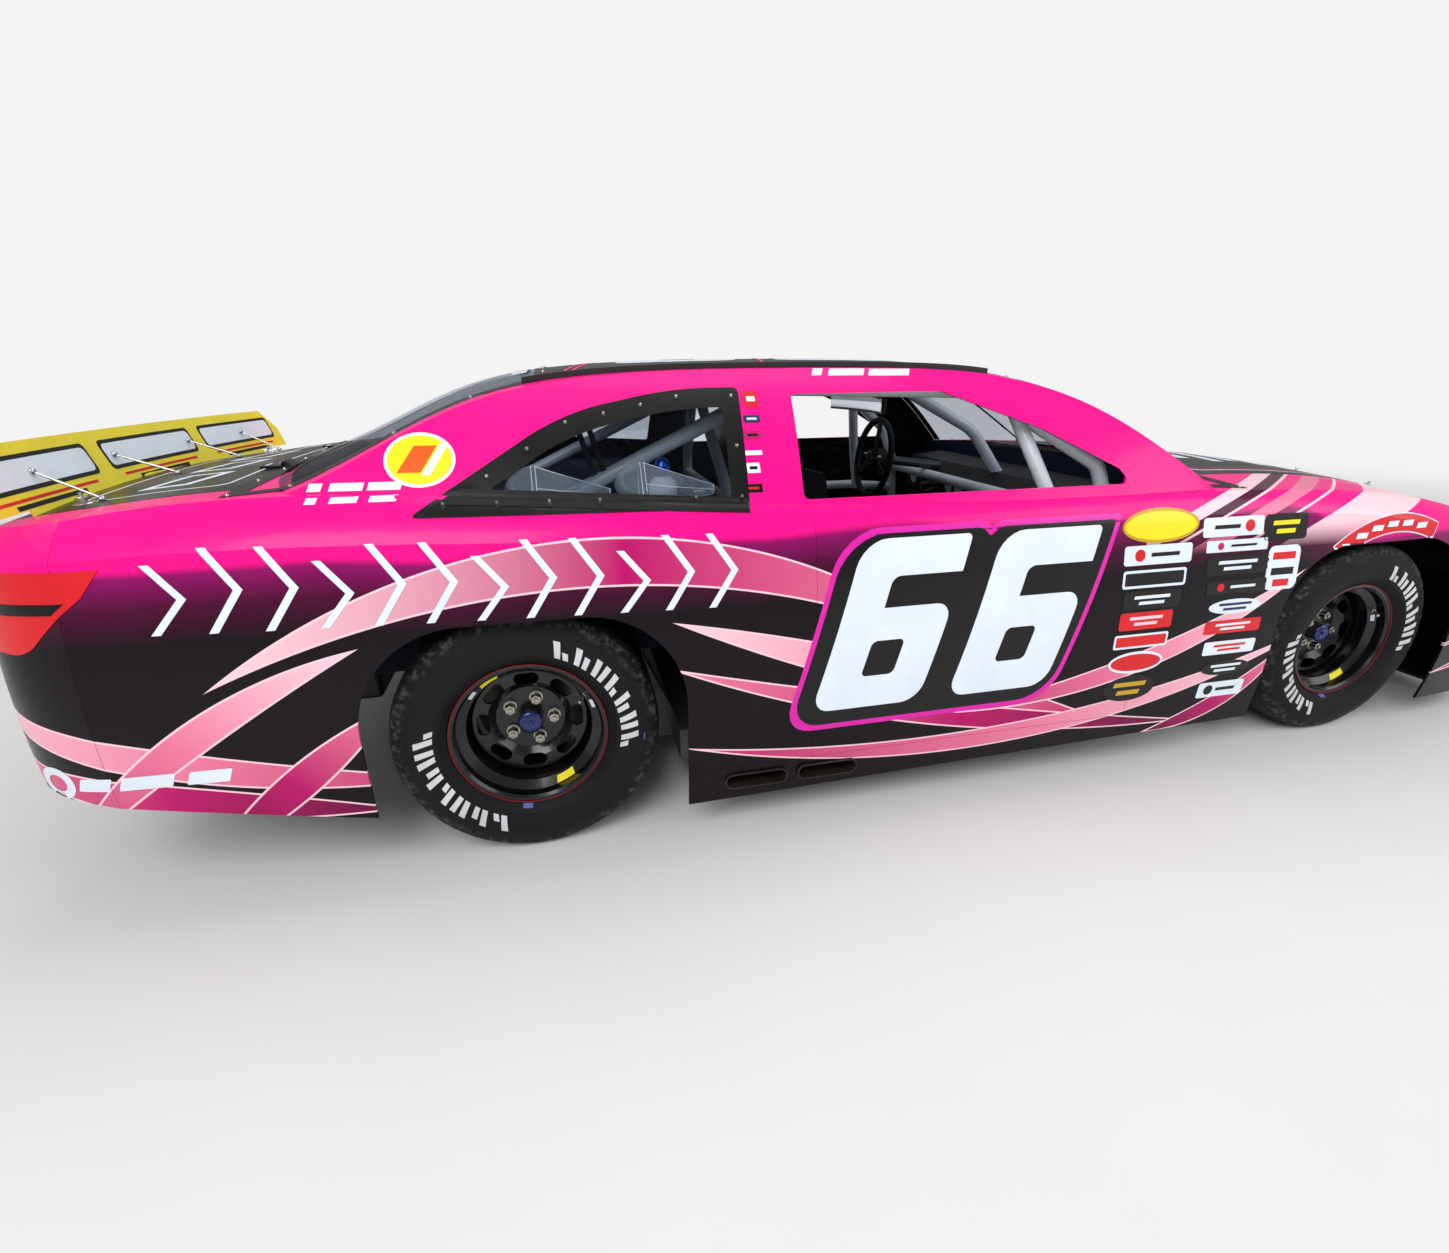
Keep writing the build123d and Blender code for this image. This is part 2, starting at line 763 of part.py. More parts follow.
# The tall blade on the deck lid, bowed in plan and raked back
with BuildPart() as spoiler:
    for z, back in ((blade_foot_z, 0), (blade_top_z, blade_rake)):
        with BuildSketch(Plane.XY.offset(z)):
            with BuildLine():
                end_x = blade_end_x - back
                middle_x = blade_middle_x - back
                ThreePointArc((end_x, -blade_half_width), (middle_x, 0), (end_x, blade_half_width))
                Line((end_x, blade_half_width), (end_x + blade_thickness, blade_half_width))
                ThreePointArc(
                    (end_x + blade_thickness, blade_half_width),
                    (middle_x + blade_thickness, 0),
                    (end_x + blade_thickness, -blade_half_width),
                )
                Line((end_x + blade_thickness, -blade_half_width), (end_x, -blade_half_width))
            make_face()
    loft(ruled=True)
    add(body_outer.part, mode=Mode.SUBTRACT)
    for side in (-1, 1):
        wing_y = sorted((side * (deck_half_width + lid_gap), side * beyond))
        add(block(-2 * beyond, 0, *wing_y, 0, blade_wing_z), mode=Mode.SUBTRACT)
        tip_y = blade_half_width + blade_thickness
        corner_cut = [
            (side * tip_y, blade_top_z - blade_corner),
            (side * tip_y, blade_top_z + blade_thickness),
            (side * (blade_half_width - blade_corner), blade_top_z + blade_thickness),
        ]
        add(cross_prism(corner_cut, -2 * beyond, 0), mode=Mode.SUBTRACT)
spoiler.part.label = "spoiler"
export_step(spoiler.part, "parts/spoiler.step")

# Air opening of the nose, with the mesh panel behind it
grille_low = grille_low_z - grille_margin
grille_high = grille_high_z + grille_margin
with BuildPart() as grille:
    add(block(grille_x, grille_x + grille_thickness, -beyond, beyond, grille_low, grille_high))
    with BuildSketch(Plane.YZ.offset(grille_x)):
        with Locations((0, (grille_low_z + grille_high_z) / 2)):
            with GridLocations(grille_pitch_y, grille_pitch_z, grille_columns, grille_rows):
                Rectangle(grille_pitch_y - grille_bar, grille_pitch_z - grille_bar)
    extrude(amount=grille_thickness, mode=Mode.SUBTRACT)
    add(body_cavity.part, mode=Mode.INTERSECT)
grille.part.label = "grille"
export_step(grille.part, "parts/grille.step")

with BuildPart() as splitter:
    with BuildSketch(Plane.XY.offset(nose_bottom_z - splitter_thickness)):
        with BuildLine():
            Polyline(*splitter_edge)
            front_x, front_y = splitter_edge[-1]
            rear_x, rear_y = splitter_edge[0]
            ThreePointArc((front_x, front_y), (lip_x, 0), (front_x, -front_y))
            Polyline(*[(x, -y) for x, y in reversed(splitter_edge)])
            Line((rear_x, -rear_y), (rear_x, rear_y))
        make_face()
    extrude(amount=splitter_thickness)
splitter.part.label = "splitter"
export_step(splitter.part, "parts/splitter.step")
# Frame: side rails under the sills, front and rear rails, and the cross members between them
notch_half = exhaust_slot / 2 + pipe_clearance
notch_top_z = exhaust_z + exhaust_height / 2 + pipe_clearance
with BuildPart() as side_rails:
    for low_y in (side_rail_y, -side_rail_y - side_rail_width):
        add(block(rear_member_x, front_member_x, low_y, low_y + side_rail_width, frame_bottom_z, frame_top_z))
    for pipe_x in exhaust_outlets_x:
        add(block(pipe_x - notch_half, pipe_x + notch_half, -beyond, 0, 0, notch_top_z), mode=Mode.SUBTRACT)
side_rails.part.label = "side_rails"
export_step(side_rails.part, "parts/side_rails.step")

# Kick-up over the axle, as (x, z)
rear_rail_line = [
    (rear_member_x, frame_bottom_z),
    (rear_member_x, frame_top_z),
    (-1010, rear_rail_top_z),
    (-1700, rear_rail_top_z),
    (tail_member_x, rear_rail_tail_z),
    (tail_member_x, rear_rail_tail_z - rail_wall),
    (-1700, rear_rail_top_z - rail_wall),
    (-1050, rear_rail_top_z - rail_wall),
    (-960, frame_bottom_z + 40),
    (-940, frame_bottom_z),
]
with BuildPart() as rear_rails:
    for low_y in (rear_rail_y, -rear_rail_y - rail_wall):
        add(side_prism(rear_rail_line, low_y, low_y + rail_wall))
rear_rails.part.label = "rear_rails"
export_step(rear_rails.part, "parts/rear_rails.step")

front_rail_out = front_rail_y + rail_wall
tower_x = (front_axle_x - tower_half_length, front_axle_x + tower_half_length)
cap_x = (front_axle_x - tower_cap_half, front_axle_x + tower_cap_half)
with BuildPart() as front_rails:
    for side in (-1, 1):
        rail_span = sorted((side * front_rail_y, side * front_rail_out))
        add(block(front_member_x, front_end_x, *rail_span, front_rail_low_z, front_rail_high_z))
        tower_span = sorted((side * (front_rail_out - tower_wall), side * front_rail_out))
        add(block(*tower_x, *tower_span, front_rail_high_z, front_spring_top_z + tower_wall))
        cap_span = sorted((side * front_rail_out, side * tower_cap_y))
        add(block(*cap_x, *cap_span, front_spring_top_z, front_spring_top_z + tower_wall))
front_rails.part.label = "front_rails"
export_step(front_rails.part, "parts/front_rails.step")

tail_bar_z = (rear_rail_tail_z - rail_wall, rear_rail_tail_z)
tow_plate_top = tail_bar_z[0] + spring_post_wall
with BuildPart() as crossmembers:
    for low_x in (rear_member_x, front_member_x - rail_wall):
        add(block(low_x, low_x + rail_wall, -side_rail_y, side_rail_y, frame_bottom_z, frame_top_z))
    end_x = (front_end_x, front_end_x + front_end_depth)
    add(block(*end_x, -front_end_half, front_end_half, front_rail_low_z, front_rail_high_z))
    add(block(tail_member_x, tail_member_x + rail_wall, -rear_rail_y, rear_rail_y, *tail_bar_z))
    bar_x = (rear_axle_x - spring_bar_half, rear_axle_x + spring_bar_half)
    bar_top_z = rear_spring_top_z + 2 * spring_bar_half
    add(block(*bar_x, -rear_rail_y, rear_rail_y, rear_spring_top_z, bar_top_z))
    for side in (-1, 1):
        post = sorted((side * rear_rail_y, side * (rear_rail_y - spring_post_wall)))
        add(block(*bar_x, *post, rear_rail_top_z - rail_wall, bar_top_z))
    with BuildSketch(Plane.XZ.offset(-tow_plate / 2)):
        with Locations((tow_x, tow_z)):
            Circle(tow_eye_radius + tow_eye_wall)
        with Locations((tow_x, (tow_z + tow_plate_top) / 2)):
            Rectangle(2 * (tow_eye_radius + tow_eye_wall), tow_plate_top - tow_z)
    extrude(amount=tow_plate)
    with BuildSketch(Plane.XZ.offset(-tow_plate)):
        with Locations((tow_x, tow_z)):
            Circle(tow_eye_radius)
    extrude(amount=2 * tow_plate, mode=Mode.SUBTRACT)
crossmembers.part.label = "crossmembers"
export_step(crossmembers.part, "parts/crossmembers.step")
# Sheet metal of the cabin: floor with its tunnel, then fire wall, rear bulkhead, shelf and rear wheel tubs
tunnel_outer = tunnel_half_width + floor_thickness
floor_top_z = frame_top_z + floor_thickness
floor_half = [
    (tunnel_half_width, tunnel_top_z),
    (tunnel_half_width, frame_top_z),
    (beyond, frame_top_z),
    (beyond, floor_top_z),
    (tunnel_outer, floor_top_z),
    (tunnel_outer, tunnel_top_z + floor_thickness),
]
floor_line = floor_half + [(-y, z) for y, z in reversed(floor_half)]
with BuildPart() as floor_pan:
    add(cross_prism(floor_line, bulkhead_x, firewall_x))
    add(body_cavity.part, mode=Mode.INTERSECT)
floor_pan.part.label = "floor_pan"
export_step(floor_pan.part, "parts/floor_pan.step")

wall_low_z = frame_top_z + touch
tub_low_y = rear_rail_y + rail_wall + touch
tub_low_z = rear_rail_top_z - rail_wall
with BuildPart() as bulkheads:
    add(block(firewall_x, firewall_x + floor_thickness, -beyond, beyond, wall_low_z, beyond))
    add(block(bulkhead_x - floor_thickness, bulkhead_x, -beyond, beyond, wall_low_z, shelf_z))
    add(block(shelf_rear_x, bulkhead_x, -beyond, beyond, shelf_z, shelf_z + floor_thickness))
    for side in (-1, 1):
        tub_y = sorted((side * tub_low_y, side * (tub_low_y + floor_thickness)))
        add(block(shelf_rear_x, bulkhead_x, *tub_y, tub_low_z, shelf_z))
    add(body_cavity.part, mode=Mode.INTERSECT)
    tunnel_mouth = (-tunnel_outer, tunnel_outer, 0, tunnel_top_z + floor_thickness)
    add(block(-beyond, beyond, *tunnel_mouth), mode=Mode.SUBTRACT)
bulkheads.part.label = "bulkheads"
export_step(bulkheads.part, "parts/bulkheads.step")

# Roll cage of round tube: the main hoop with its stays, the bars ahead of it, and the bars inside the doors
hoop_face_x = hoop_x + cage_radius + touch
ahead_of_hoop = block(hoop_face_x, beyond, -beyond, beyond, floor_top_z, beyond)
hoop_line = [
    (hoop_x, -hoop_foot_y, floor_top_z - cage_radius),
    (hoop_x, -hoop_waist[0], hoop_waist[1]),
    (hoop_x, -hoop_top[0], hoop_top[1]),
    (hoop_x, hoop_top[0], hoop_top[1]),
    (hoop_x, hoop_waist[0], hoop_waist[1]),
    (hoop_x, hoop_foot_y, floor_top_z - cage_radius),
]
with BuildPart() as main_hoop:
    for side in (-1, 1):
        stay_end = (stay_foot[0], side * stay_foot[1], shelf_z - stay_sink)
        add(tube([(hoop_x, side * stay_top[0], stay_top[1]), stay_end], cage_radius))
    add(block(-2 * beyond, 0, -beyond, beyond, 0, shelf_z + floor_thickness), mode=Mode.SUBTRACT)
    add(tube(hoop_line, cage_radius))
    add(tube([(hoop_x, -hoop_cross[0], hoop_cross[1]), (hoop_x, hoop_cross[0], hoop_cross[1])], cage_radius))
    add(tube([(hoop_x, y, z) for y, z in hoop_diagonal], cage_radius))
    add(block(-beyond, 0, -beyond, beyond, 0, floor_top_z), mode=Mode.SUBTRACT)
main_hoop.part.label = "main_hoop"
export_step(main_hoop.part, "parts/main_hoop.step")

with BuildPart() as cage_bars:
    for side in (-1, 1):
        leg = [(hoop_x, side * roof_bar_start[0], roof_bar_start[1])]
        leg += [(x, side * y, z) for x, y, z in leg_points]
        leg += [(leg_foot[0], side * leg_foot[1], floor_top_z - cage_radius)]
        add(tube(leg, cage_radius, post_bend))
        add(tube([(x, side * y, z) for x, y, z in vent_points], cage_radius, post_bend))
    for x, y, z in (leg_points[0], dash_bar):
        add(tube([(x, -y, z), (x, y, z)], cage_radius))
    add(tube(middle_points, cage_radius, middle_bend))
    add(ahead_of_hoop, mode=Mode.INTERSECT)
cage_bars.part.label = "cage_bars"
export_step(cage_bars.part, "parts/cage_bars.step")

leg_top = leg_points[-1]
leg_slope = (leg_foot[0] - leg_top[0]) / (leg_top[2] - floor_top_z + cage_radius)
leg_clear = (cage_radius + touch) * hypot(1, leg_slope)
past_leg = [
    (leg_top[0] - leg_clear, leg_top[2]),
    (leg_foot[0] - leg_clear, floor_top_z - cage_radius),
    (beyond, floor_top_z - cage_radius),
    (beyond, leg_top[2]),
]
with BuildPart() as door_bars:
    for z in door_bar_heights:
        leg_x = leg_top[0] + (leg_top[2] - z) * leg_slope
        for side in (-1, 1):
            bar = [
                (hoop_x, side * door_bar_end_y, z),
                (-door_bar_bend_x, side * door_bar_y, z),
                (door_bar_bend_x, side * door_bar_y, z),
                (leg_x, side * door_bar_end_y, z),
            ]
            add(tube(bar, cage_radius))
    add(side_prism(past_leg, -beyond, beyond), mode=Mode.SUBTRACT)
    add(ahead_of_hoop, mode=Mode.INTERSECT)
door_bars.part.label = "door_bars"
export_step(door_bars.part, "parts/door_bars.step")
# Engine as one mass on its mounts, and the gearbox with the propeller shaft behind it
engine_x = (engine_rear_x, engine_front_x)
head_x = (engine_rear_x + head_inset, engine_front_x - head_inset)
manifold_x = (engine_rear_x + manifold_inset, engine_front_x - manifold_inset)
mount_x = (engine_rear_x + mount_inset, engine_rear_x + mount_inset + mount_length)
with BuildPart() as engine:
    add(block(*engine_x, -engine_half_width, engine_half_width, engine_low_z, engine_deck_z))
    for side in (-1, 1):
        add(cross_prism([(side * y, z) for y, z in head_line], *head_x))
        mount_span = sorted((side * (engine_half_width - touch), side * (front_rail_y - touch)))
        add(block(*mount_x, *mount_span, mount_z, mount_z + mount_height))
    add(block(*manifold_x, -manifold_half_width, manifold_half_width, engine_deck_z, engine_top_z))
engine.part.label = "engine"
export_step(engine.part, "parts/engine.step")

with BuildPart() as driveline:
    with BuildSketch(Plane.YZ.offset(gearbox_rear_x)):
        with Locations((0, gearbox_z)):
            Circle(gearbox_radius)
    extrude(amount=engine_rear_x - touch - gearbox_rear_x)
    add(tube([(gearbox_rear_x + shaft_radius, 0, gearbox_z), (pinion_x, 0, tyre_radius)], shaft_radius))
    add(block(-2 * beyond, pinion_x, -beyond, beyond, 0, beyond), mode=Mode.SUBTRACT)
driveline.part.label = "driveline"
export_step(driveline.part, "parts/driveline.step")

radiator_rear_x = front_end_x + radiator_inset
radiator_front_x = radiator_rear_x + radiator_depth
with BuildPart() as radiator:
    radiator_span = (-radiator_half_width, radiator_half_width)
    add(block(radiator_rear_x, radiator_front_x, *radiator_span, front_rail_high_z, radiator_top_z))
    with BuildSketch(Plane.YZ.offset(radiator_front_x)):
        with Locations((0, (front_rail_high_z + radiator_top_z) / 2)):
            with GridLocations(1, fin_pitch, 1, fin_rows):
                Rectangle(2 * (radiator_half_width - radiator_rim), fin_pitch / 2)
    extrude(amount=-fin_depth, mode=Mode.SUBTRACT)
radiator.part.label = "radiator"
export_step(radiator.part, "parts/radiator.step")

with BuildPart() as fuel_cell:
    add(block(*fuel_cell_x, -fuel_cell_half, fuel_cell_half, *fuel_cell_z))
    fillet(fuel_cell.edges(), fuel_cell_corner)
    for side in (-1, 1):
        for strap_x in fuel_strap_x:
            strap = sorted((side * (fuel_cell_half - fuel_cell_corner / 2), side * (rear_rail_y - touch)))
            add(block(strap_x, strap_x + fuel_strap_width, *strap, *fuel_strap_z))
fuel_cell.part.label = "fuel_cell"
export_step(fuel_cell.part, "parts/fuel_cell.step")
# Exhaust: two pipes under the floor that turn to flat oval outlets in the right sill
with BuildPart() as exhaust:
    for start_y, outlet_x in zip((pipe_y, -pipe_y), exhaust_outlets_x):
        box_y = -box_start_y - exhaust_height / 2
        route = [(pipe_start_x, start_y, exhaust_z), (outlet_x, start_y, exhaust_z), (outlet_x, box_y, exhaust_z)]
        add(tube(route, pipe_radius, pipe_bend))
        with BuildSketch(Plane.XZ.offset(box_start_y)):
            with Locations((outlet_x, exhaust_z)):
                SlotOverall(exhaust_slot, exhaust_height)
        extrude(amount=exhaust_end_y - box_start_y)
    for outlet_x in exhaust_outlets_x:
        with BuildSketch(Plane.XZ.offset(box_start_y + exhaust_height)):
            with Locations((outlet_x, exhaust_z)):
                SlotOverall(exhaust_slot - 2 * exhaust_wall, exhaust_height - 2 * exhaust_wall)
        extrude(amount=exhaust_end_y - box_start_y - exhaust_height, mode=Mode.SUBTRACT)
exhaust.part.label = "exhaust"
export_step(exhaust.part, "parts/exhaust.step")
# Dash, seat and steering column
column_end_x = firewall_x - touch
column_slope = radians(column_tilt)
wheel_axis = Vector(cos(column_slope), 0, -sin(column_slope))
wheel_centre = Vector(steering_wheel_x, steering_wheel_y, steering_wheel_z)
column_start = wheel_centre + wheel_axis * (steering_hub_length + touch)
column_length = (column_end_x - column_start.X) / wheel_axis.X - column_radius * tan(column_slope)
with BuildPart() as steering_column:
    with BuildSketch(Plane(origin=column_start, z_dir=wheel_axis)):
        Circle(column_radius)
    extrude(amount=column_length)
steering_column.part.label = "steering_column"
export_step(steering_column.part, "parts/steering_column.step")

# Dash from the side, as (x, z): a top sheet that slopes to the gauge face
dash_line = [
    (column_end_x, dash_top_z),
    (dash_face_x + 34, dash_top_z - 14),
    (dash_face_x, dash_edge_z),
    (dash_face_x, dash_low_z),
    (dash_face_x + dash_wall, dash_low_z),
    (dash_face_x + dash_wall, dash_edge_z - 1),
    (dash_face_x + 36, dash_top_z - 14 - dash_wall),
    (column_end_x, dash_top_z - dash_wall),
]
with BuildPart() as dash_panel:
    add(side_prism(dash_line, -dash_half_width, dash_half_width))
    add(cage_bars.part, mode=Mode.SUBTRACT)
    add(steering_column.part, mode=Mode.SUBTRACT)
dash_panel.part.label = "dash_panel"
export_step(dash_panel.part, "parts/dash_panel.step")

hub_face = Plane(origin=wheel_centre, x_dir=(0, 1, 0), z_dir=wheel_axis)
rim_centre_radius = steering_wheel_radius - steering_rim_radius
with BuildPart() as steering_wheel:
    with BuildSketch(hub_face):
        Circle(steering_hub_radius)
    extrude(amount=steering_hub_length)
    with BuildSketch(Plane(origin=wheel_centre, x_dir=(0, 1, 0), z_dir=wheel_axis.cross(Vector(0, 1, 0)))):
        with Locations((rim_centre_radius, 0)):
            Circle(steering_rim_radius)
    revolve(axis=Axis(wheel_centre, wheel_axis))
    with BuildSketch(hub_face):
        with PolarLocations(rim_centre_radius / 2, spoke_count, start_angle=90):
            Rectangle(rim_centre_radius, spoke_width)
        Circle(steering_hub_radius)
    extrude(amount=spoke_thickness)
steering_wheel.part.label = "steering_wheel"
export_step(steering_wheel.part, "parts/steering_wheel.step")

# Seat shell: its side outline less the space for the driver, with a bolster each side of the head
hollow_half = seat_half_width - seat_wall
with BuildPart() as driver_seat:
    add(side_prism(seat_line, seat_y - seat_half_width, seat_y + seat_half_width, seat_corner))
    add(side_prism(seat_hollow, seat_y - hollow_half, seat_y + hollow_half, seat_corner), mode=Mode.SUBTRACT)
    for side in (-1, 1):
        runner_y = sorted((seat_y + side * seat_half_width, seat_y + side * (seat_half_width - runner_width)))
        add(block(*runner_x, *runner_y, floor_top_z + touch, runner_top_z))
driver_seat.part.label = "driver_seat"
export_step(driver_seat.part, "parts/driver_seat.step")
# Wheels with tyres and brakes. Half outlines as (out, radius), where out runs outboard from the wheel's middle.
corners = [
    ("front_left", front_axle_x, 1),
    ("front_right", front_axle_x, -1),
    ("rear_left", rear_axle_x, 1),
    ("rear_right", rear_axle_x, -1),
]
half_tyre = tyre_width / 2
half_rim = rim_width / 2
well_out = half_rim - rim_drop_inset
bead_out = half_rim - bead_seat_inset
sidewall_radius = (tyre_radius + bead_radius) / 2
tyre_half_line = [
    (bead_out, bead_radius + touch),
    (half_tyre + sidewall_bulge, sidewall_radius),
    (half_tyre - sidewall_bulge, tyre_radius - shoulder_drop),
    (tread_width / 2, tyre_radius),
]
rim_half_line = [
    (well_out, rim_drop_radius),
    (well_out + rim_slope, bead_radius - touch),
    (half_rim - rim_wall, bead_radius - touch),
    (half_rim - rim_wall, rim_lip_radius),
    (half_rim, rim_lip_radius),
    (half_rim, rim_lip_radius - rim_lip_depth),
    (half_rim - rim_wall, bead_radius - rim_wall),
    (well_out + rim_slope + rim_wall / 2, bead_radius - rim_wall),
    (well_out + rim_wall / 2, rim_drop_radius - rim_wall),
]
land_radius = stud_circle_radius + disc_land
step_radius = land_radius + disc_step
disc_line = [
    (disc_offset - disc_thickness, disc_pilot_radius),
    (disc_offset, disc_pilot_radius),
    (disc_offset, land_radius),
    (disc_offset + disc_dish, step_radius),
    (disc_offset + disc_dish, rim_drop_radius - disc_dish),
    (disc_offset + disc_thickness, rim_drop_radius - rim_wall),
    (disc_offset, rim_drop_radius - rim_wall),
    (disc_offset + disc_dish - disc_thickness, rim_drop_radius - disc_dish - touch),
    (disc_offset + disc_dish - disc_thickness, step_radius + touch),
    (disc_offset - disc_thickness, land_radius + touch),
]

for corner, axle_x, side in corners:
    axle = Axis((axle_x, 0, tyre_radius), (0, 1, 0))
    with BuildPart() as tyre:
        with BuildSketch(hub_plane(axle_x, side)):
            with BuildLine():
                Polyline(*both_flanks(tyre_half_line), close=True)
            make_face()
        revolve(axis=axle)
    tyre.part.label = f"tyre_{corner}"
    export_step(tyre.part, f"parts/tyre_{corner}.step")

    with BuildPart() as wheel:
        with BuildSketch(hub_plane(axle_x, side)):
            with BuildLine():
                Polyline(*disc_line, close=True)
            make_face()
        revolve(axis=axle)
        with BuildSketch(face_plane(axle_x, side, disc_offset - disc_dish)):
            with PolarLocations(slot_circle_radius, slot_count):
                SlotOverall(slot_length, slot_width, rotation=90)
        extrude(amount=2 * disc_dish + disc_thickness, mode=Mode.SUBTRACT)
        with BuildSketch(hub_plane(axle_x, side)):
            with BuildLine():
                Polyline(*both_flanks(rim_half_line), close=True)
            make_face()
        revolve(axis=axle)
        with BuildSketch(face_plane(axle_x, side, disc_offset)):
            with PolarLocations(stud_circle_radius, stud_count):
                RegularPolygon(nut_radius, 6)
        extrude(amount=nut_height)
    wheel.part.label = f"wheel_{corner}"
    export_step(wheel.part, f"parts/wheel_{corner}.step")

    disc_back = disc_offset - disc_thickness
    rotor_in = -rotor_offset - rotor_thickness / 2
    with BuildPart() as brake:
        add(ring(axle_x, side, hub_radius, rotor_radius, rotor_in, rotor_in + rotor_thickness))
        add(ring(axle_x, side, 0, hub_radius, rotor_in, disc_back))
        add(ring(axle_x, side, 0, hub_cap_radius, disc_back, disc_offset + hub_cap_length))
        add(
            ring(axle_x, side, 0, spindle_radius + running_fit, rotor_in, spindle_bore_end),
            mode=Mode.SUBTRACT,
        )
    brake.part.label = f"hub_{corner}"
    export_step(brake.part, f"parts/hub_{corner}.step")

for name, side in (("left", 1), ("right", -1)):
    with BuildPart() as knuckle:
        add(carrier(front_axle_x, side))
        with BuildSketch(Plane.XY.offset(tyre_radius - kingpin_half)):
            with Locations((front_axle_x, side * kingpin_y)):
                Circle(kingpin_radius)
        extrude(amount=2 * kingpin_half)
    knuckle.part.label = f"knuckle_{name}"
    export_step(knuckle.part, f"parts/knuckle_{name}.step")

# Front arms: an upper and a lower A on each side, and the spring seat on the lower one
arm_reach = kingpin_half - arm_eye_height / 2 - arm_eye_gap
spring_seat_z = tyre_radius - arm_reach + spring_seat_rise
with BuildPart() as control_arms:
    for side in (-1, 1):
        for up in (-1, 1):
            eye_z = tyre_radius + up * arm_reach
            with BuildSketch(Plane.XY.offset(eye_z - arm_eye_height / 2)):
                with Locations((front_axle_x, side * kingpin_y)):
                    Circle(arm_eye_radius)
            extrude(amount=arm_eye_height)
            arm_tip = (front_axle_x, side * (kingpin_y - kingpin_radius), eye_z)
            for spread in (-arm_spread, arm_spread):
                root = (front_axle_x + spread, side * (front_rail_out + touch), eye_z)
                add(tube([arm_tip, root], arm_tube_radius))
            with BuildSketch(Plane.XY.offset(eye_z - arm_eye_height)):
                with Locations((front_axle_x, side * kingpin_y)):
                    Circle(kingpin_radius + running_fit)
            extrude(amount=2 * arm_eye_height, mode=Mode.SUBTRACT)
    for side in (-1, 1):
        seat_y_span = sorted((side * (front_spring_y - spring_seat_half), side * (front_spring_y + spring_seat_half)))
        seat_x = (front_axle_x - arm_spread / 2, front_axle_x + arm_spread / 2)
        add(block(*seat_x, *seat_y_span, spring_seat_z - spring_seat_wall, spring_seat_z))
    rail_zone = block(0, 2 * beyond, -front_rail_out, front_rail_out, 0, beyond)
    add(rail_zone, mode=Mode.SUBTRACT)
control_arms.part.label = "control_arms"
export_step(control_arms.part, "parts/control_arms.step")

with BuildPart() as rear_axle:
    for side in (-1, 1):
        add(carrier(rear_axle_x, side))
        tube_end = kingpin_y - upright_depth / 2 - wheel_y
        add(ring(rear_axle_x, side, 0, axle_tube_radius, -wheel_y, tube_end + touch))
        pad = sorted((side * (rear_spring_y - spring_pad_half), side * (rear_spring_y + spring_pad_half)))
        pad_x = (rear_axle_x - spring_pad_half, rear_axle_x + spring_pad_half)
        add(block(*pad_x, *pad, tyre_radius, tyre_radius + spring_pad_rise))
    with BuildSketch(Plane.XZ):
        with Locations((rear_axle_x, tyre_radius)):
            Circle(diff_radius)
    extrude(amount=diff_half_width, both=True)
    rounds = rear_axle.edges().filter_by(GeomType.CIRCLE)
    fillet(rounds.filter_by(lambda edge: abs(edge.radius - diff_radius) < touch), diff_corner)
    nose_x_span = (rear_axle_x, pinion_x - touch)
    add(block(*nose_x_span, -pinion_half, pinion_half, tyre_radius - pinion_half, tyre_radius + pinion_half))
rear_axle.part.label = "rear_axle"
export_step(rear_axle.part, "parts/rear_axle.step")

# Coil springs as revolved stacks of turns: columns are the axle, its spring's y, and the two seats
spring_rows = [
    (front_axle_x, front_spring_y, spring_seat_z, front_spring_top_z),
    (rear_axle_x, rear_spring_y, tyre_radius + spring_pad_rise, rear_spring_top_z),
]
with BuildPart() as springs:
    for side in (-1, 1):
        for axle_x, spring_y, seat_z, top_z in spring_rows:
            low_z = seat_z + touch
            turn_height = (top_z - touch - low_z) / spring_turns
            outline = [(axle_x, low_z), (axle_x + spring_radius, low_z)]
            for turn in range(spring_turns):
                turn_z = low_z + turn * turn_height
                outline.append((axle_x + spring_radius, turn_z + turn_height / 2))
                outline.append((axle_x + spring_radius - spring_groove, turn_z + turn_height * 3 / 4))
                outline.append((axle_x + spring_radius, turn_z + turn_height))
            outline.append((axle_x, top_z - touch))
            with BuildSketch(Plane.XZ.offset(-side * spring_y)):
                with BuildLine():
                    Polyline(*outline, close=True)
                make_face()
            revolve(axis=Axis((axle_x, side * spring_y, 0), (0, 0, 1)))
springs.part.label = "springs"
export_step(springs.part, "parts/springs.step")

with BuildPart() as trailing_arms:
    for side in (-1, 1):
        arm_start = (rear_member_x - touch, side * trail_front[0], trail_front[1])
        arm_end = (rear_axle_x + axle_tube_radius, side * trail_rear[0], trail_rear[1])
        add(tube([arm_start, arm_end], trail_radius))
        bracket_y = sorted((side * (trail_rear[0] - trail_radius), side * (trail_rear[0] + trail_radius)))
        bracket_x = (rear_axle_x, rear_axle_x + axle_tube_radius + trail_radius)
        add(block(*bracket_x, *bracket_y, trail_rear[1] - 2 * trail_radius, trail_rear[1] + trail_radius))
    add(rear_axle.part, mode=Mode.SUBTRACT)
    add(block(rear_member_x, beyond, -beyond, beyond, 0, beyond), mode=Mode.SUBTRACT)
trailing_arms.part.label = "trailing_arms"
export_step(trailing_arms.part, "parts/trailing_arms.step")
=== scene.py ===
import math

import bmesh
import bpy
from mathutils import Matrix, Vector
from mathutils.bvhtree import BVHTree
from mathutils.geometry import convex_hull_2d


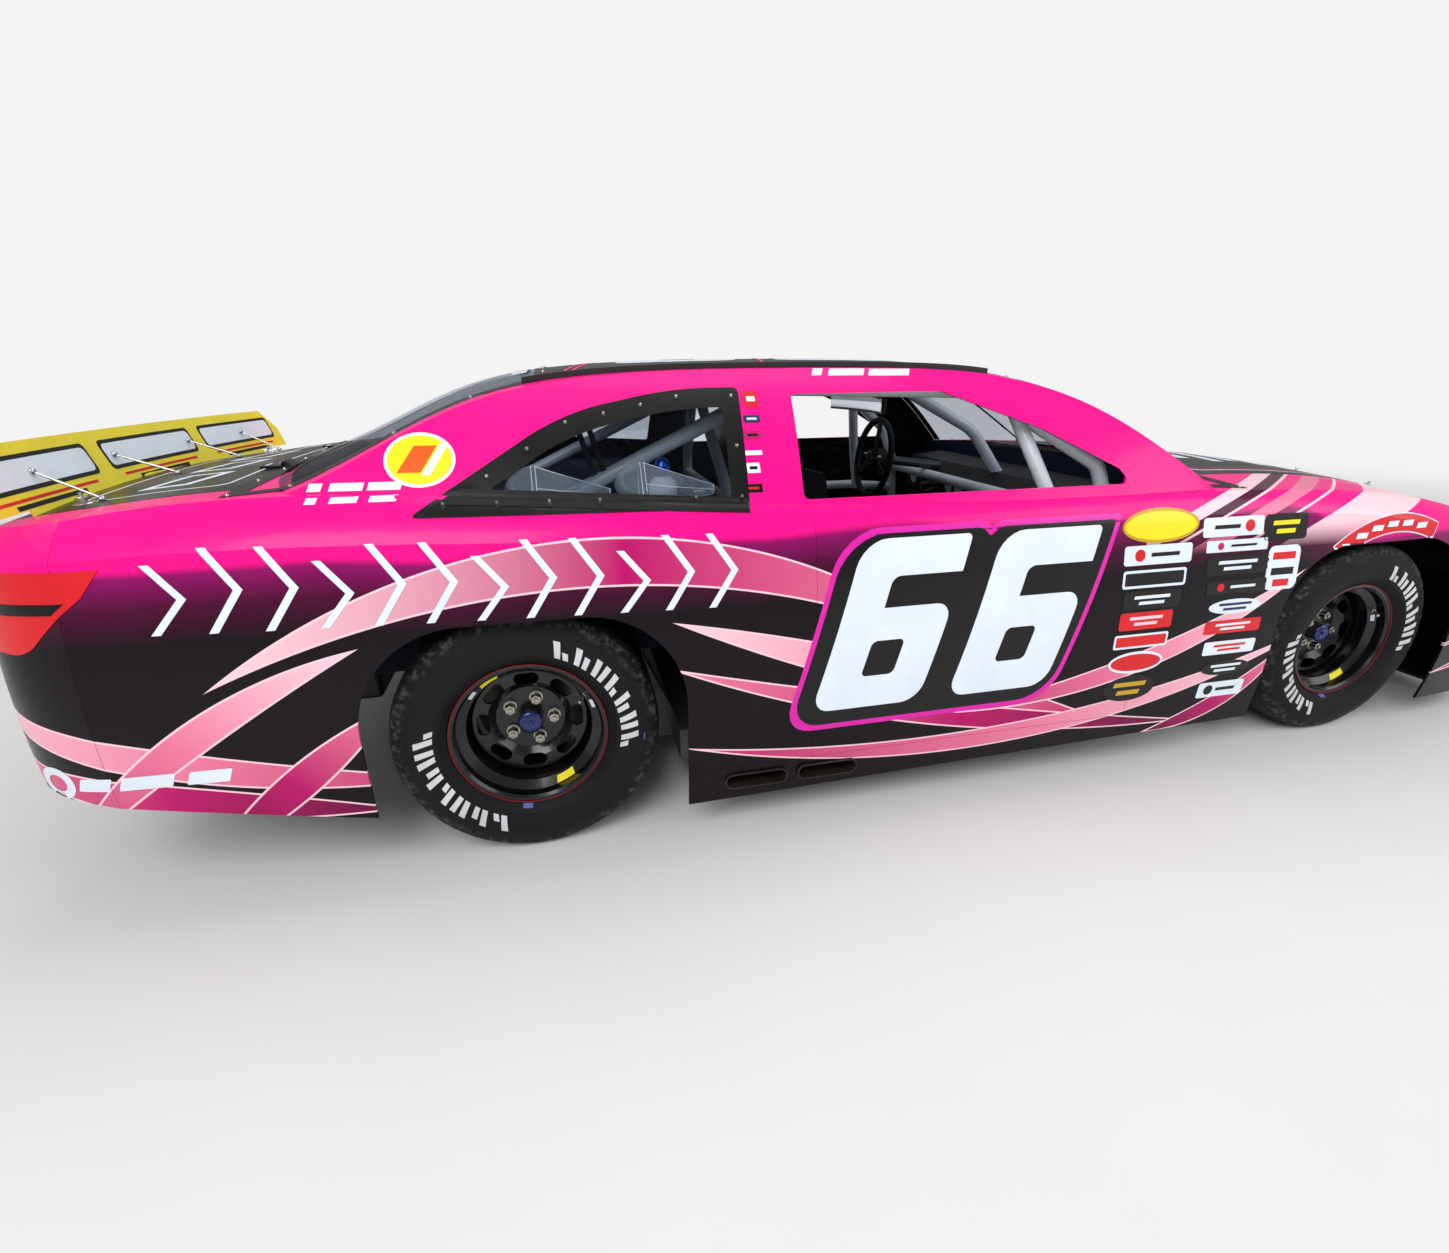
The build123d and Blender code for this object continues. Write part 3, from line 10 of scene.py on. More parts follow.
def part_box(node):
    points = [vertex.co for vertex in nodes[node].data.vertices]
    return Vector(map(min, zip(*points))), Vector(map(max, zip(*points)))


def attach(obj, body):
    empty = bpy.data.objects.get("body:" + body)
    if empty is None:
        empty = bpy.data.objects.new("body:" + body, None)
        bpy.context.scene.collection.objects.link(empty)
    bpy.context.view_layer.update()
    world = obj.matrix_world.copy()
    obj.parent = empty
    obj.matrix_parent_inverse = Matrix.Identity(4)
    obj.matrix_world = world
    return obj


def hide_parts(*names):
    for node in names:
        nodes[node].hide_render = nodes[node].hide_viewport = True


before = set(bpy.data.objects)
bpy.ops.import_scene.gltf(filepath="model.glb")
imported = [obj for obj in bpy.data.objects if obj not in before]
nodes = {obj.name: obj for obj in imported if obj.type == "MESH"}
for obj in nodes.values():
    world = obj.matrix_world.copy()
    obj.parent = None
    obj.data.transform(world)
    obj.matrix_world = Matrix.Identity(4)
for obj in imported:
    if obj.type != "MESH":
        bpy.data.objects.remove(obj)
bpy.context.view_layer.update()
print("stage: frame loaded")

# Camera, floor and light
viewpoint = {
    "place": (-1.1754, -2.5835, 1.2552),  # beside the rear wheel, at chest height
    "turn": 13.36,  # degrees toward the nose
    "down": 20.4, "roll": -0.36, "lens": 16.99, "sensor": 36.0,
}
turn, down, roll = (math.radians(viewpoint[key]) for key in ("turn", "down", "roll"))
ahead = Vector((math.sin(turn) * math.cos(down), math.cos(turn) * math.cos(down), -math.sin(down)))
level = Vector((math.cos(turn), -math.sin(turn), 0.0))
across = math.cos(roll) * level + math.sin(roll) * level.cross(ahead)
upright = across.cross(ahead)
cameraData = bpy.data.cameras.new("sideCamera")
cameraData.lens = viewpoint["lens"]
cameraData.sensor_width = viewpoint["sensor"]
camera = bpy.data.objects.new("sideCamera", cameraData)
camera.matrix_world = (Matrix.Translation(viewpoint["place"])
                       @ Matrix((across, upright, -ahead)).transposed().to_4x4())
bpy.context.scene.collection.objects.link(camera)
bpy.context.scene.camera = camera
bpy.context.scene.view_settings.view_transform = "Standard"


def tint(red, green, blue):  # screen values 0-255 to a linear colour
    def straight(value):
        value = value / 255.0
        return value / 12.92 if value <= 0.04045 else ((value + 0.055) / 1.055) ** 2.4
    return (straight(red), straight(green), straight(blue), 1.0)


def shaded(colour, factor):
    return tuple(min(1.0, part * factor) for part in colour[:3]) + (1.0,)


def plug(tree, value, socket):  # a link or a fixed value
    if isinstance(value, bpy.types.NodeSocket):
        tree.links.new(value, socket)
    else:
        socket.default_value = value


def addNode(tree, kind, inputs=None, **settings):
    made = tree.nodes.new("ShaderNode" + kind)
    for name, value in settings.items():
        setattr(made, name, value)
    for name, value in (inputs or {}).items():
        plug(tree, value, made.inputs[name])
    return made


def calc(tree, operation, first, second=0.0, clamp=False):
    return addNode(tree, "Math", {0: first, 1: second}, operation=operation, use_clamp=clamp).outputs[0]


def vectorCalc(tree, operation, first, second=(0.0, 0.0, 0.0), output="Value"):
    return addNode(tree, "VectorMath", {0: first, 1: second}, operation=operation).outputs[output]


def mixColour(tree, share, first, second):
    return addNode(tree, "Mix", {0: share, 6: first, 7: second}, data_type="RGBA").outputs[2]


def noise(tree, place, scale, detail, roughness=0.5):
    inputs = {"Vector": place, "Scale": scale, "Detail": detail, "Roughness": roughness}
    return addNode(tree, "TexNoise", inputs).outputs["Fac"]


def spread(tree, value, low, high, newLow=0.0, newHigh=1.0, smooth=False):
    inputs = {"Value": value, "From Min": low, "From Max": high, "To Min": newLow, "To Max": newHigh}
    return addNode(tree, "MapRange", inputs,
                   interpolation_type="SMOOTHSTEP" if smooth else "LINEAR").outputs[0]


def dress(tree, shader, height=None, strength=0.5, depth=0.0002, **inputs):
    # underscores stand for spaces in the sockets' names
    if height is not None:
        bump = addNode(tree, "Bump", {"Height": height, "Strength": strength, "Distance": depth})
        tree.links.new(bump.outputs[0], shader.inputs["Normal"])
    for name, value in inputs.items():
        plug(tree, value, shader.inputs[name.replace("_", " ")])


def blendShaders(tree, share, first, second):
    blend = addNode(tree, "MixShader", {0: share, 1: first.outputs[0], 2: second.outputs[0]})
    tree.links.new(blend.outputs[0], tree.nodes["Material Output"].inputs["Surface"])


finishes = {}


def newFinish(name):
    made = finishes[name] = bpy.data.materials.new(name)
    made.use_nodes = True
    tree = made.node_tree
    return tree, tree.nodes["Principled BSDF"], addNode(tree, "TexCoord").outputs["Object"]


studio = {
    "floorDark": tint(222, 222, 222), "floor": tint(226, 226, 226), "backdrop": tint(244, 244, 244),
    "fadeFrom": 4.5, "fadeTo": 11.0, "ambient": 0.54, "mirrored": 0.34, "floorSize": 60.0, "floorDrop": 0.0005,
    "lamps": (  # name, place, aim, size, watts
        ("keyLamp", (-3.5, -5.5, 5.5), (0.0, 0.0, 0.5), 4.0, 300.0),
        ("fillLamp", (5.0, -4.0, 3.5), (0.5, 0.0, 0.5), 4.0, 130.0),
        ("topLamp", (0.0, 1.5, 6.0), (0.0, 0.0, 0.8), 5.0, 150.0),
    ),
}
world = bpy.data.worlds.new("studio")
bpy.context.scene.world = world
world.use_nodes = True
tree = world.node_tree
path = addNode(tree, "LightPath")
seen = calc(tree, "ADD", path.outputs["Is Camera Ray"], path.outputs["Is Transmission Ray"], clamp=True)
mirrored = spread(tree, path.outputs["Is Glossy Ray"], 0.0, 1.0, 0.0, studio["mirrored"] - studio["ambient"])
strength = calc(tree, "ADD", spread(tree, seen, 0.0, 1.0, studio["ambient"], 1.0), mirrored)
dress(tree, tree.nodes["Background"], Color=studio["backdrop"], Strength=strength)

shape = bmesh.new()
bmesh.ops.create_grid(shape, x_segments=1, y_segments=1, size=studio["floorSize"])
mesh = bpy.data.meshes.new("studioFloor")
shape.to_mesh(mesh)
shape.free()
floor = bpy.data.objects.new("studioFloor", mesh)
bpy.context.scene.collection.objects.link(floor)
floor.location.z = -studio["floorDrop"]
tree, shader, place = newFinish("studioFloor")
paint = mixColour(tree, noise(tree, place, 3.0, 6.0), studio["floorDark"], studio["floor"])
dress(tree, shader, Base_Color=paint, Roughness=0.9, Specular_IOR_Level=0.1)
fade = spread(tree, vectorCalc(tree, "LENGTH", place), studio["fadeFrom"], studio["fadeTo"], smooth=True)
blendShaders(tree, fade, shader, addNode(tree, "Emission", {"Color": studio["backdrop"], "Strength": 1.0}))
floor.data.materials.append(finishes["studioFloor"])

for name, place, aim, size, watts in studio["lamps"]:
    lamp = bpy.data.lights.new(name, "AREA")
    lamp.shape = "SQUARE"
    lamp.size = size
    lamp.energy = watts
    lampObject = bpy.data.objects.new(name, lamp)
    lampObject.location = place
    lampObject.rotation_euler = (Vector(aim) - Vector(place)).to_track_quat("-Z", "Y").to_euler()
    bpy.context.scene.collection.objects.link(lampObject)
print("stage: camera, floor and lamps")


# Finishes
def plainFinish(name, colour, roughness=0.5, metallic=0.0, uneven=0.18, patches=7.0, grain=260.0,
                grainDepth=0.00015, coat=0.0, specular=0.5, worn=None):
    tree, shader, place = newFinish(name)
    cloud = noise(tree, place, patches, 6.0, 0.6)
    paint = mixColour(tree, spread(tree, cloud, 0.3, 0.7), shaded(colour, 1 - uneven), shaded(colour, 1 + uneven))
    if worn:
        scuffs = noise(tree, place, patches * 9.0, 9.0)
        paint = mixColour(tree, spread(tree, scuffs, 0.62, 0.78, 0.0, 0.55), paint, tint(*worn))
    rough = spread(tree, cloud, 0.25, 0.75, roughness * 0.82, min(1.0, roughness * 1.18))
    dress(tree, shader, noise(tree, place, grain, 3.0), 0.5, grainDepth, Base_Color=paint, Roughness=rough,
          Metallic=metallic, Coat_Weight=coat, Coat_Roughness=0.08, Specular_IOR_Level=specular)


def clearFinish(name, colour, share):  # a clear sheet that lets most light straight through
    tree, shader, place = newFinish(name)
    smears = noise(tree, place, 5.0, 5.0)
    dress(tree, shader, Base_Color=mixColour(tree, smears, colour, shaded(colour, 1.3)),
          Roughness=spread(tree, smears, 0.3, 0.7, 0.03, 0.07))
    edge = addNode(tree, "LayerWeight", {"Blend": 0.35}).outputs["Fresnel"]
    through = addNode(tree, "BsdfTransparent", {"Color": tint(238, 242, 246)})
    blendShaders(tree, spread(tree, edge, 0.0, 1.0, share, 0.34), through, shader)


rubber = {  # dusty shoulder, greyed tread, by the distance from the axle
    "axles": (-1.310, 1.484), "axleHeight": 0.35, "dark": tint(10, 10, 14), "light": tint(20, 20, 25),
    "shoulder": (0.305, 0.335), "shoulderEnd": (0.3495, 0.338), "dust": tint(124, 120, 116),
    "tread": (0.346, 0.350), "worn": tint(62, 60, 60),
}


def rubberFinish(name):
    tree, shader, place = newFinish(name)
    along, side, height = addNode(tree, "SeparateXYZ", {0: place}).outputs
    flat = addNode(tree, "CombineXYZ", {0: along, 2: height}).outputs[0]
    away = calc(tree, "MINIMUM", *(vectorCalc(tree, "DISTANCE", flat, (axle, 0.0, rubber["axleHeight"]))
                                  for axle in rubber["axles"]))
    cloud, streaks = noise(tree, place, 9.0, 7.0), noise(tree, place, 60.0, 8.0)
    paint = mixColour(tree, spread(tree, cloud, 0.3, 0.7), rubber["dark"], rubber["light"])
    shoulder = calc(tree, "MULTIPLY", spread(tree, away, *rubber["shoulder"], smooth=True),
                    spread(tree, away, *rubber["shoulderEnd"], smooth=True))
    dusty = calc(tree, "MULTIPLY", shoulder, spread(tree, streaks, 0.48, 0.66, 0.0, 0.34))
    paint = mixColour(tree, dusty, paint, rubber["dust"])
    tread = calc(tree, "MULTIPLY", spread(tree, away, *rubber["tread"]),
                 spread(tree, streaks, 0.3, 0.7, 0.1, 0.5))
    dress(tree, shader, streaks, 0.4, 0.0004, Base_Color=mixColour(tree, tread, paint, rubber["worn"]),
          Roughness=spread(tree, cloud, 0.3, 0.7, 0.55, 0.78), Specular_IOR_Level=0.25)


def weaveFinish(name, colour, threads, roughness):
    tree, shader, place = newFinish(name)
    waves = [addNode(tree, "TexWave", {"Vector": place, "Scale": threads, "Distortion": 0.4},
                     bands_direction=axis).outputs["Fac"] for axis in ("X", "Y", "Z")]
    weave = calc(tree, "MULTIPLY", calc(tree, "ADD", waves[0], waves[2]), waves[1])
    cloud = calc(tree, "ADD", weave, noise(tree, place, 22.0, 6.0))
    paint = mixColour(tree, spread(tree, cloud, 0.4, 1.6), shaded(colour, 0.6), shaded(colour, 1.4))
    dress(tree, shader, weave, 0.6, 0.0005, Base_Color=paint, Roughness=roughness, Sheen_Weight=0.3,
          Specular_IOR_Level=0.2)


colours = {
    "pink": tint(248, 6, 136), "magenta": tint(186, 10, 102), "plum": tint(78, 6, 50),
    "night": tint(14, 4, 12), "violet": tint(138, 8, 96), "rose": tint(236, 124, 158), "blush": tint(250, 208, 218),
    "black": tint(8, 8, 10), "white": tint(226, 236, 246), "yellow": tint(244, 226, 24),
    "red": tint(214, 24, 32), "inside": tint(24, 25, 30), "navy": tint(34, 44, 96), "grey": tint(150, 152, 160),
    "gold": tint(206, 160, 30), "orange": tint(232, 92, 24), "fuchsia": tint(222, 26, 168),
}
plainTable = (  # name, screen colour, roughness, what differs from plainFinish's own values
    ("plasticBlack", (22, 22, 24), 0.50, {}),
    ("frameGrey", (60, 62, 66), 0.45, {"coat": 0.3}),
    ("floorGrey", (40, 43, 52), 0.55, {"specular": 0.2, "worn": (70, 70, 74)}),
    ("shelfNavy", (26, 32, 50), 0.60, {"specular": 0.15, "worn": (48, 54, 72)}),
    ("cageGrey", (214, 220, 228), 0.32, {"coat": 0.4, "uneven": 0.07}),
    ("engineAlloy", (120, 122, 126), 0.40, {"metallic": 0.8}),
    ("radiatorAlloy", (150, 152, 156), 0.35, {"metallic": 0.9}),
    ("exhaustSteel", (70, 64, 60), 0.55, {"metallic": 0.8, "worn": (110, 70, 50)}),
    ("dashBlack", (26, 26, 28), 0.65, {}),
    ("gripBlack", (20, 20, 21), 0.80, {"grain": 900.0, "grainDepth": 0.0004}),
    ("seatAlloy", (40, 40, 44), 0.40, {"metallic": 0.5}),
    ("suspensionSteel", (70, 72, 76), 0.40, {"metallic": 0.6}),
    ("springPaint", (190, 40, 30), 0.40, {"coat": 0.3}),
    ("wheelPaint", (11, 11, 15), 0.24, {"coat": 0.25, "specular": 0.4}),
    ("rimRed", (120, 20, 26), 0.40, {"specular": 0.3}),
    ("capBlue", (44, 52, 110), 0.28, {"metallic": 0.7, "coat": 0.4}),
    ("nutSteel", (176, 172, 160), 0.30, {"metallic": 0.9}),
    ("pinSteel", (196, 198, 204), 0.26, {"metallic": 0.95}),
    ("tyreWhite", (204, 206, 208), 0.60, {"uneven": 0.12, "worn": (110, 110, 112), "specular": 0.2}),
    ("tyreBlue", (92, 98, 160), 0.60, {"specular": 0.2}),
    ("brakeIron", (86, 80, 76), 0.45, {"metallic": 0.9, "worn": (120, 84, 60)}),
    ("bladeYellow", (244, 226, 24), 0.35, {"coat": 0.4, "uneven": 0.06}),
    ("lidPaint", (8, 8, 10), 0.30, {"coat": 0.1, "uneven": 0.1, "grainDepth": 0.00002, "specular": 0.25}),
    ("sealBlack", (12, 12, 14), 0.50, {"specular": 0.3}),
    ("meshBlack", (14, 14, 15), 0.60, {}),
    ("foamBlack", (26, 26, 28), 0.85, {"grain": 420.0, "grainDepth": 0.0006}),
    ("bottleWhite", (226, 228, 232), 0.40, {"uneven": 0.05}),
    # pale opaque finish for rods that stand for the highlights on the clear ducts: painted highlight
    ("ductRimHighlight", (210, 216, 224), 0.25, {"coat": 0.5, "uneven": 0.08}),
    ("capMetal", (20, 84, 196), 0.22, {"metallic": 0.7, "coat": 0.5}),
    ("mirrorGlass", (200, 206, 214), 0.05, {"metallic": 1.0, "uneven": 0.03, "grainDepth": 0.00001}),
    ("dialFace", (232, 232, 228), 0.40, {"uneven": 0.04}),
    ("screenBlack", (10, 12, 18), 0.12, {"coat": 0.5}),
    ("castRed", (150, 18, 24), 0.40, {"coat": 0.3, "grainDepth": 0.0004}),
    ("filterPaper", (176, 150, 96), 0.90, {"grain": 500.0, "grainDepth": 0.0008}),
)
for name, colour, roughness, settings in plainTable:
    plainFinish(name, tint(*colour), roughness, **settings)
for key in ("white", "black", "yellow", "red", "magenta", "pink", "blush", "navy", "grey", "gold", "orange",
            "fuchsia"):  # the printed sheets
    plainFinish(key + "Vinyl", colours[key], 0.34, uneven=0.05, grainDepth=0.00002, specular=0.3, coat=0.1)
rubberFinish("tyreRubber")
clearFinish("clearSheet", tint(30, 34, 42), 0.03)
clearFinish("clearDuct", tint(200, 206, 214), 0.16)
weaveFinish("padCloth", tint(30, 30, 34), 700.0, 0.85)
weaveFinish("beltWeb", tint(44, 44, 50), 1500.0, 0.7)
weaveFinish("beltRed", tint(150, 22, 30), 1500.0, 0.7)

livery = {
    "creaseFrom": 0.60, "creaseTo": 0.875,  # heights over which the flank goes from dark to pink: the wrap's own plum, with painted shade under the shoulder and a painted horizon reflection
    "shades": ((0.35, "night"), (0.66, "plum"), (0.90, "violet")),
    "overArch": ((1.00, 1.42, 0.11), (1.72, 2.20, -0.11)),  # from x, to x, rise: the pink reaches lower there
    "edgeWidth": 0.006, "roofHalf": 0.530, "roofFrom": 1.10, "barsFrom": 0.5, "barsLow": (0.73, 0.80),
    "bars": (  # range of the slanted measure, colour
        (0.34, 0.43, "blush"), (0.43, 0.50, "plum"), (0.50, 0.52, "blush"), (0.60, 0.70, "rose"),
        (0.78, 0.80, "blush"), (0.95, 1.30, "blush"),
    # the widest blush bar, last here, is a painted highlight along the fender top
    ),
    "inner": (-1.7, 1.9, 0.55),  # the middle line that inner faces look at: from x, to x, height
}
swooshTable = (  # first tip, second tip as (x, z), outer and inner sag, three colours along it
    ((-2.62, 0.62), (-1.50, 0.30), -0.10, -0.02, "blush", "rose", "magenta"),
    ((-2.62, 0.46), (-1.62, 0.22), -0.07, 0.02, "rose", "magenta", "plum"),
    ((-2.40, 0.16), (-1.66, 0.66), 0.10, 0.02, "magenta", "rose", "blush"),
    ((-2.10, 0.12), (-1.60, 0.52), 0.05, -0.04, "plum", "magenta", "rose"),
    ((-2.00, 0.58), (-0.10, 0.50), 0.34, 0.22, "blush", "magenta", "rose"),
    ((-0.93, 0.66), (0.46, 0.20), 0.05, -0.05, "blush", "rose", "magenta"),
    ((-0.95, 0.54), (0.80, 0.16), -0.02, -0.10, "rose", "magenta", "plum"),
    ((-0.92, 0.30), (1.20, 0.46), -0.14, -0.21, "magenta", "rose", "blush"),
    ((-0.10, 0.30), (1.12, 0.66), -0.05, -0.12, "magenta", "rose", "blush"),
    ((0.62, 0.13), (1.10, 0.40), -0.02, -0.09, "plum", "magenta", "rose"),
    ((1.86, 0.20), (2.62, 0.50), -0.01, -0.06, "magenta", "rose", "blush"),
    ((1.80, 0.30), (2.66, 0.47), 0.03, -0.01, "plum", "magenta", "rose"),
)


def arcDistance(tree, flat, first, second, sag):  # positive on the chord's side of the arc through two tips
    chord = second - first
    radius = (chord.length_squared / 4 + sag * sag) / (2 * abs(sag))
    out = Vector((-chord.y, chord.x)).normalized() * (1 if sag > 0 else -1)
    centre = (first + second) / 2 + out * (abs(sag) - radius)
    return calc(tree, "SUBTRACT", radius, vectorCalc(tree, "DISTANCE", flat, (centre.x, 0.0, centre.y)))


def swooshPaint(tree, paint, flat, first, second, outerSag, innerSag, keys):
    first, second = Vector(first), Vector(second)
    innerSag, outerSag = sorted((outerSag, innerSag), key=abs)
    outer = arcDistance(tree, flat, first, second, outerSag)
    inner = arcDistance(tree, flat, first, second, innerSag)
    if outerSag * innerSag > 0:  # both arcs bow the same way, so the swoosh lies between them
        inner = calc(tree, "MULTIPLY", inner, -1.0)
    inside = calc(tree, "MINIMUM", outer, inner)
    chord = (second - first) / (second - first).length_squared
    fromTip = vectorCalc(tree, "SUBTRACT", flat, (first.x, 0.0, first.y), "Vector")
    fill = addNode(tree, "ValToRGB", {"Fac": vectorCalc(tree, "DOT_PRODUCT", fromTip, (chord.x, 0.0, chord.y))})
    ramp = fill.color_ramp.elements
    ramp[0].color, ramp[1].color = colours[keys[0]], colours[keys[2]]
    ramp.new(0.5).color = colours[keys[1]]
    edge = spread(tree, inside, livery["edgeWidth"] * 0.8, livery["edgeWidth"])
    body = mixColour(tree, edge, colours["blush"], fill.outputs["Color"])
    return mixColour(tree, spread(tree, inside, 0.0, 0.001), paint, body)


def liveryFinish(name):
    tree, shader, place = newFinish(name)
    along, side, height = addNode(tree, "SeparateXYZ", {0: place}).outputs
    side = calc(tree, "ABSOLUTE", side)
    flat = addNode(tree, "CombineXYZ", {0: along, 2: height}).outputs[0]
    drift = noise(tree, place, 1.1, 2.0)
    lifted = calc(tree, "ADD", height, spread(tree, drift, 0.3, 0.7, -0.02, 0.02))
    for start, end, rise in livery["overArch"]:
        lifted = calc(tree, "ADD", lifted, spread(tree, along, start, end, 0.0, rise, smooth=True))
    # dark below the crease, pink above it: partly the wrap's own plum, partly painted shade under the shoulder and a
    # painted horizon reflection
    shade = addNode(tree, "ValToRGB", {"Fac": spread(tree, lifted, livery["creaseFrom"], livery["creaseTo"])})
    ramp = shade.color_ramp.elements
    ramp[0].color, ramp[1].color = colours["night"], colours["pink"]
    ramp[1].position = 0.97
    for position, key in livery["shades"]:
        ramp.new(position).color = colours[key]
    paint = shade.outputs["Color"]
    for first, second, outerSag, innerSag, *keys in swooshTable:
        paint = swooshPaint(tree, paint, flat, first, second, outerSag, innerSag, keys)
    # slanted bars over the top of each front fender; the widest blush bar is a painted highlight along the fender top
    slant = calc(tree, "SUBTRACT", along, calc(tree, "MULTIPLY", height, 2.0))
    slant = calc(tree, "ADD", slant, calc(tree, "MULTIPLY", side, 1.5))
    high = calc(tree, "MULTIPLY", spread(tree, height, *livery["barsLow"]),
                calc(tree, "GREATER_THAN", along, livery["barsFrom"]))
    for low, top, key in livery["bars"]:
        bar = calc(tree, "MULTIPLY", calc(tree, "GREATER_THAN", slant, low), calc(tree, "LESS_THAN", slant, top))
        paint = mixColour(tree, calc(tree, "MULTIPLY", bar, high), paint, colours[key])
    # black over the roof, and dark inner faces
    roofTop = calc(tree, "MULTIPLY", calc(tree, "LESS_THAN", side, livery["roofHalf"]),
                   calc(tree, "GREATER_THAN", height, livery["roofFrom"]))
    paint = mixColour(tree, roofTop, paint, colours["black"])
    normal = addNode(tree, "TexCoord").outputs["Normal"]
    rear, front, middleHeight = livery["inner"]
    middle = calc(tree, "MINIMUM", calc(tree, "MAXIMUM", along, rear), front)
    middle = addNode(tree, "CombineXYZ", {0: middle, 2: middleHeight}).outputs[0]
    outward = vectorCalc(tree, "DOT_PRODUCT", normal, vectorCalc(tree, "SUBTRACT", place, middle, "Vector"))
    paint = mixColour(tree, calc(tree, "LESS_THAN", outward, 0.0), paint, colours["inside"])
    rough = spread(tree, noise(tree, place, 14.0, 6.0), 0.3, 0.7, 0.24, 0.34)
    dress(tree, shader, noise(tree, place, 5.0, 1.0), 0.15, 0.002, Base_Color=paint, Roughness=rough,
          Coat_Weight=0.10, Coat_Roughness=0.06, Specular_IOR_Level=0.16)


liveryFinish("liveryPaint")
corners = ("front_left", "front_right", "rear_left", "rear_right")
nodeFinishes = {
    "liveryPaint": "rear_bumper_cover quarter_panels door_panels front_fenders rocker_skirts nose_cover roof_shell",
    "lidPaint": "hood deck_lid", "bladeYellow": "spoiler", "clearSheet": "windows", "clearDuct": "window_ducts",
    "plasticBlack": "roof_rails splitter fuel_cell", "meshBlack": "grille",
    "frameGrey": "side_rails rear_rails front_rails crossmembers", "floorGrey": "floor_pan",
    "shelfNavy": "bulkheads", "cageGrey": "main_hoop cage_bars door_bars", "engineAlloy": "engine",
    "radiatorAlloy": "radiator", "exhaustSteel": "exhaust", "dashBlack": "dash_panel", "gripBlack": "steering_wheel",
    "seatAlloy": "driver_seat", "springPaint": "springs",
    "suspensionSteel": "driveline steering_column control_arms rear_axle trailing_arms knuckle_left knuckle_right",
    "tyreRubber": " ".join("tyre_" + corner for corner in corners),
    "wheelPaint": " ".join("wheel_" + corner for corner in corners),
    "brakeIron": " ".join("hub_" + corner for corner in corners),
}
for finish, names in nodeFinishes.items():
    for name in names.split():
        nodes[name].data.materials.clear()
        nodes[name].data.materials.append(finishes[finish])
print("stage: node finishes")


# Shapes
def surfaceOf(*names):  # what the decals and trim are laid on
    shape = bmesh.new()
    for name in names:
        shape.from_mesh(nodes[name].data)
    made = BVHTree.FromBMesh(shape)
    shape.free()
    return made


sideSkin = surfaceOf("rear_bumper_cover", "quarter_panels", "door_panels", "front_fenders", "rocker_skirts",
                     "nose_cover", "roof_shell")
topSkin = surfaceOf("roof_shell", "hood", "deck_lid", "windows", "front_fenders", "quarter_panels", "nose_cover")
bladeSkin = surfaceOf("spoiler")


def addPiece(name, shape, finish, body="chassis", sharp=40.0, replaced=()):
    mesh = bpy.data.meshes.new(name)
    shape.to_mesh(mesh)
    shape.free()
    mesh.shade_smooth()
    mesh.set_sharp_from_angle(angle=math.radians(sharp))
    mesh.materials.append(finishes[finish])
    piece = bpy.data.objects.new(name, mesh)
    bpy.context.scene.collection.objects.link(piece)
    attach(piece, body)
    if replaced:
        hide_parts(*replaced)
    return piece


def joined(name):  # front_left to FrontLeft
    return name.title().replace("_", "")


def moved(x, y, z):
    return Matrix.Translation((x, y, z))


def facing(way, up="Y"):  # a turn that points z along a way
    return Vector(way).to_track_quat("Z", up).to_matrix().to_4x4()


def circle(steps, radius=1.0):
    turns = [2 * math.pi * step / steps for step in range(steps)]
    return [(radius * math.cos(turn), radius * math.sin(turn)) for turn in turns]


def bevelled(shape, geom, offset, segments, affect="EDGES"):
    bmesh.ops.bevel(shape, geom=geom, offset=offset, offset_type="OFFSET", segments=segments, profile=0.5,
                    affect=affect, material=-1)


def cone(shape, placed, low, high, tall, sides, base=0.0):  # stands on its place, with two radii
    return bmesh.ops.create_cone(shape, cap_ends=True, segments=sides, radius1=low, radius2=high, depth=tall,
                                 matrix=placed @ moved(0, 0, base + tall / 2))["verts"]


def box(shape, placed, size, soft=0.0, segments=3):  # centred on its place
    made = bmesh.ops.create_cube(shape, size=1.0, matrix=placed @ Matrix.Diagonal((*size, 1)))["verts"]
    if soft:
        bevelled(shape, list({edge for point in made for edge in point.link_edges}), soft, segments)


def turned(shape, path, middle, axis, steps, closed=False):  # a profile spun about an axis
    points = [shape.verts.new(point) for point in path]
    pairs = zip(points, points[1:] + (points[:1] if closed else []))
    edges = [shape.edges.new(pair) for pair in pairs]
    bmesh.ops.spin(shape, geom=points + edges, cent=middle, axis=axis, dvec=(0, 0, 0), angle=2 * math.pi,
                   steps=steps, use_merge=True, use_duplicate=False)
    if not closed:
        bmesh.ops.remove_doubles(shape, verts=shape.verts[:], dist=1e-5)
        mouths = [edge for edge in shape.edges if edge.is_boundary]
        if mouths:
            bmesh.ops.holes_fill(shape, edges=mouths, sides=0)
    bmesh.ops.recalc_face_normals(shape, faces=shape.faces[:])


def tube(shape, rings):  # rings of points, joined and closed at both ends
    rings = [[shape.verts.new(point) for point in ring] for ring in rings]
    for first, second in zip(rings, rings[1:]):
        for step in range(len(first)):
            after = (step + 1) % len(first)
            shape.faces.new((first[step], first[after], second[after], second[step]))
    shape.faces.new(rings[0][::-1])
    shape.faces.new(rings[-1])


def aheadAt(path, index):
    return (path[min(index + 1, len(path) - 1)] - path[max(index - 1, 0)]).normalized()


def rod(shape, path, radius, sides=14):  # a round bar along a path
    path = [Vector(point) for point in path]
    tube(shape, [[point + aheadAt(path, index).to_track_quat("Z", "Y").to_matrix() @ Vector((*spot, 0.0))
                  for spot in circle(sides, radius)] for index, point in enumerate(path)])


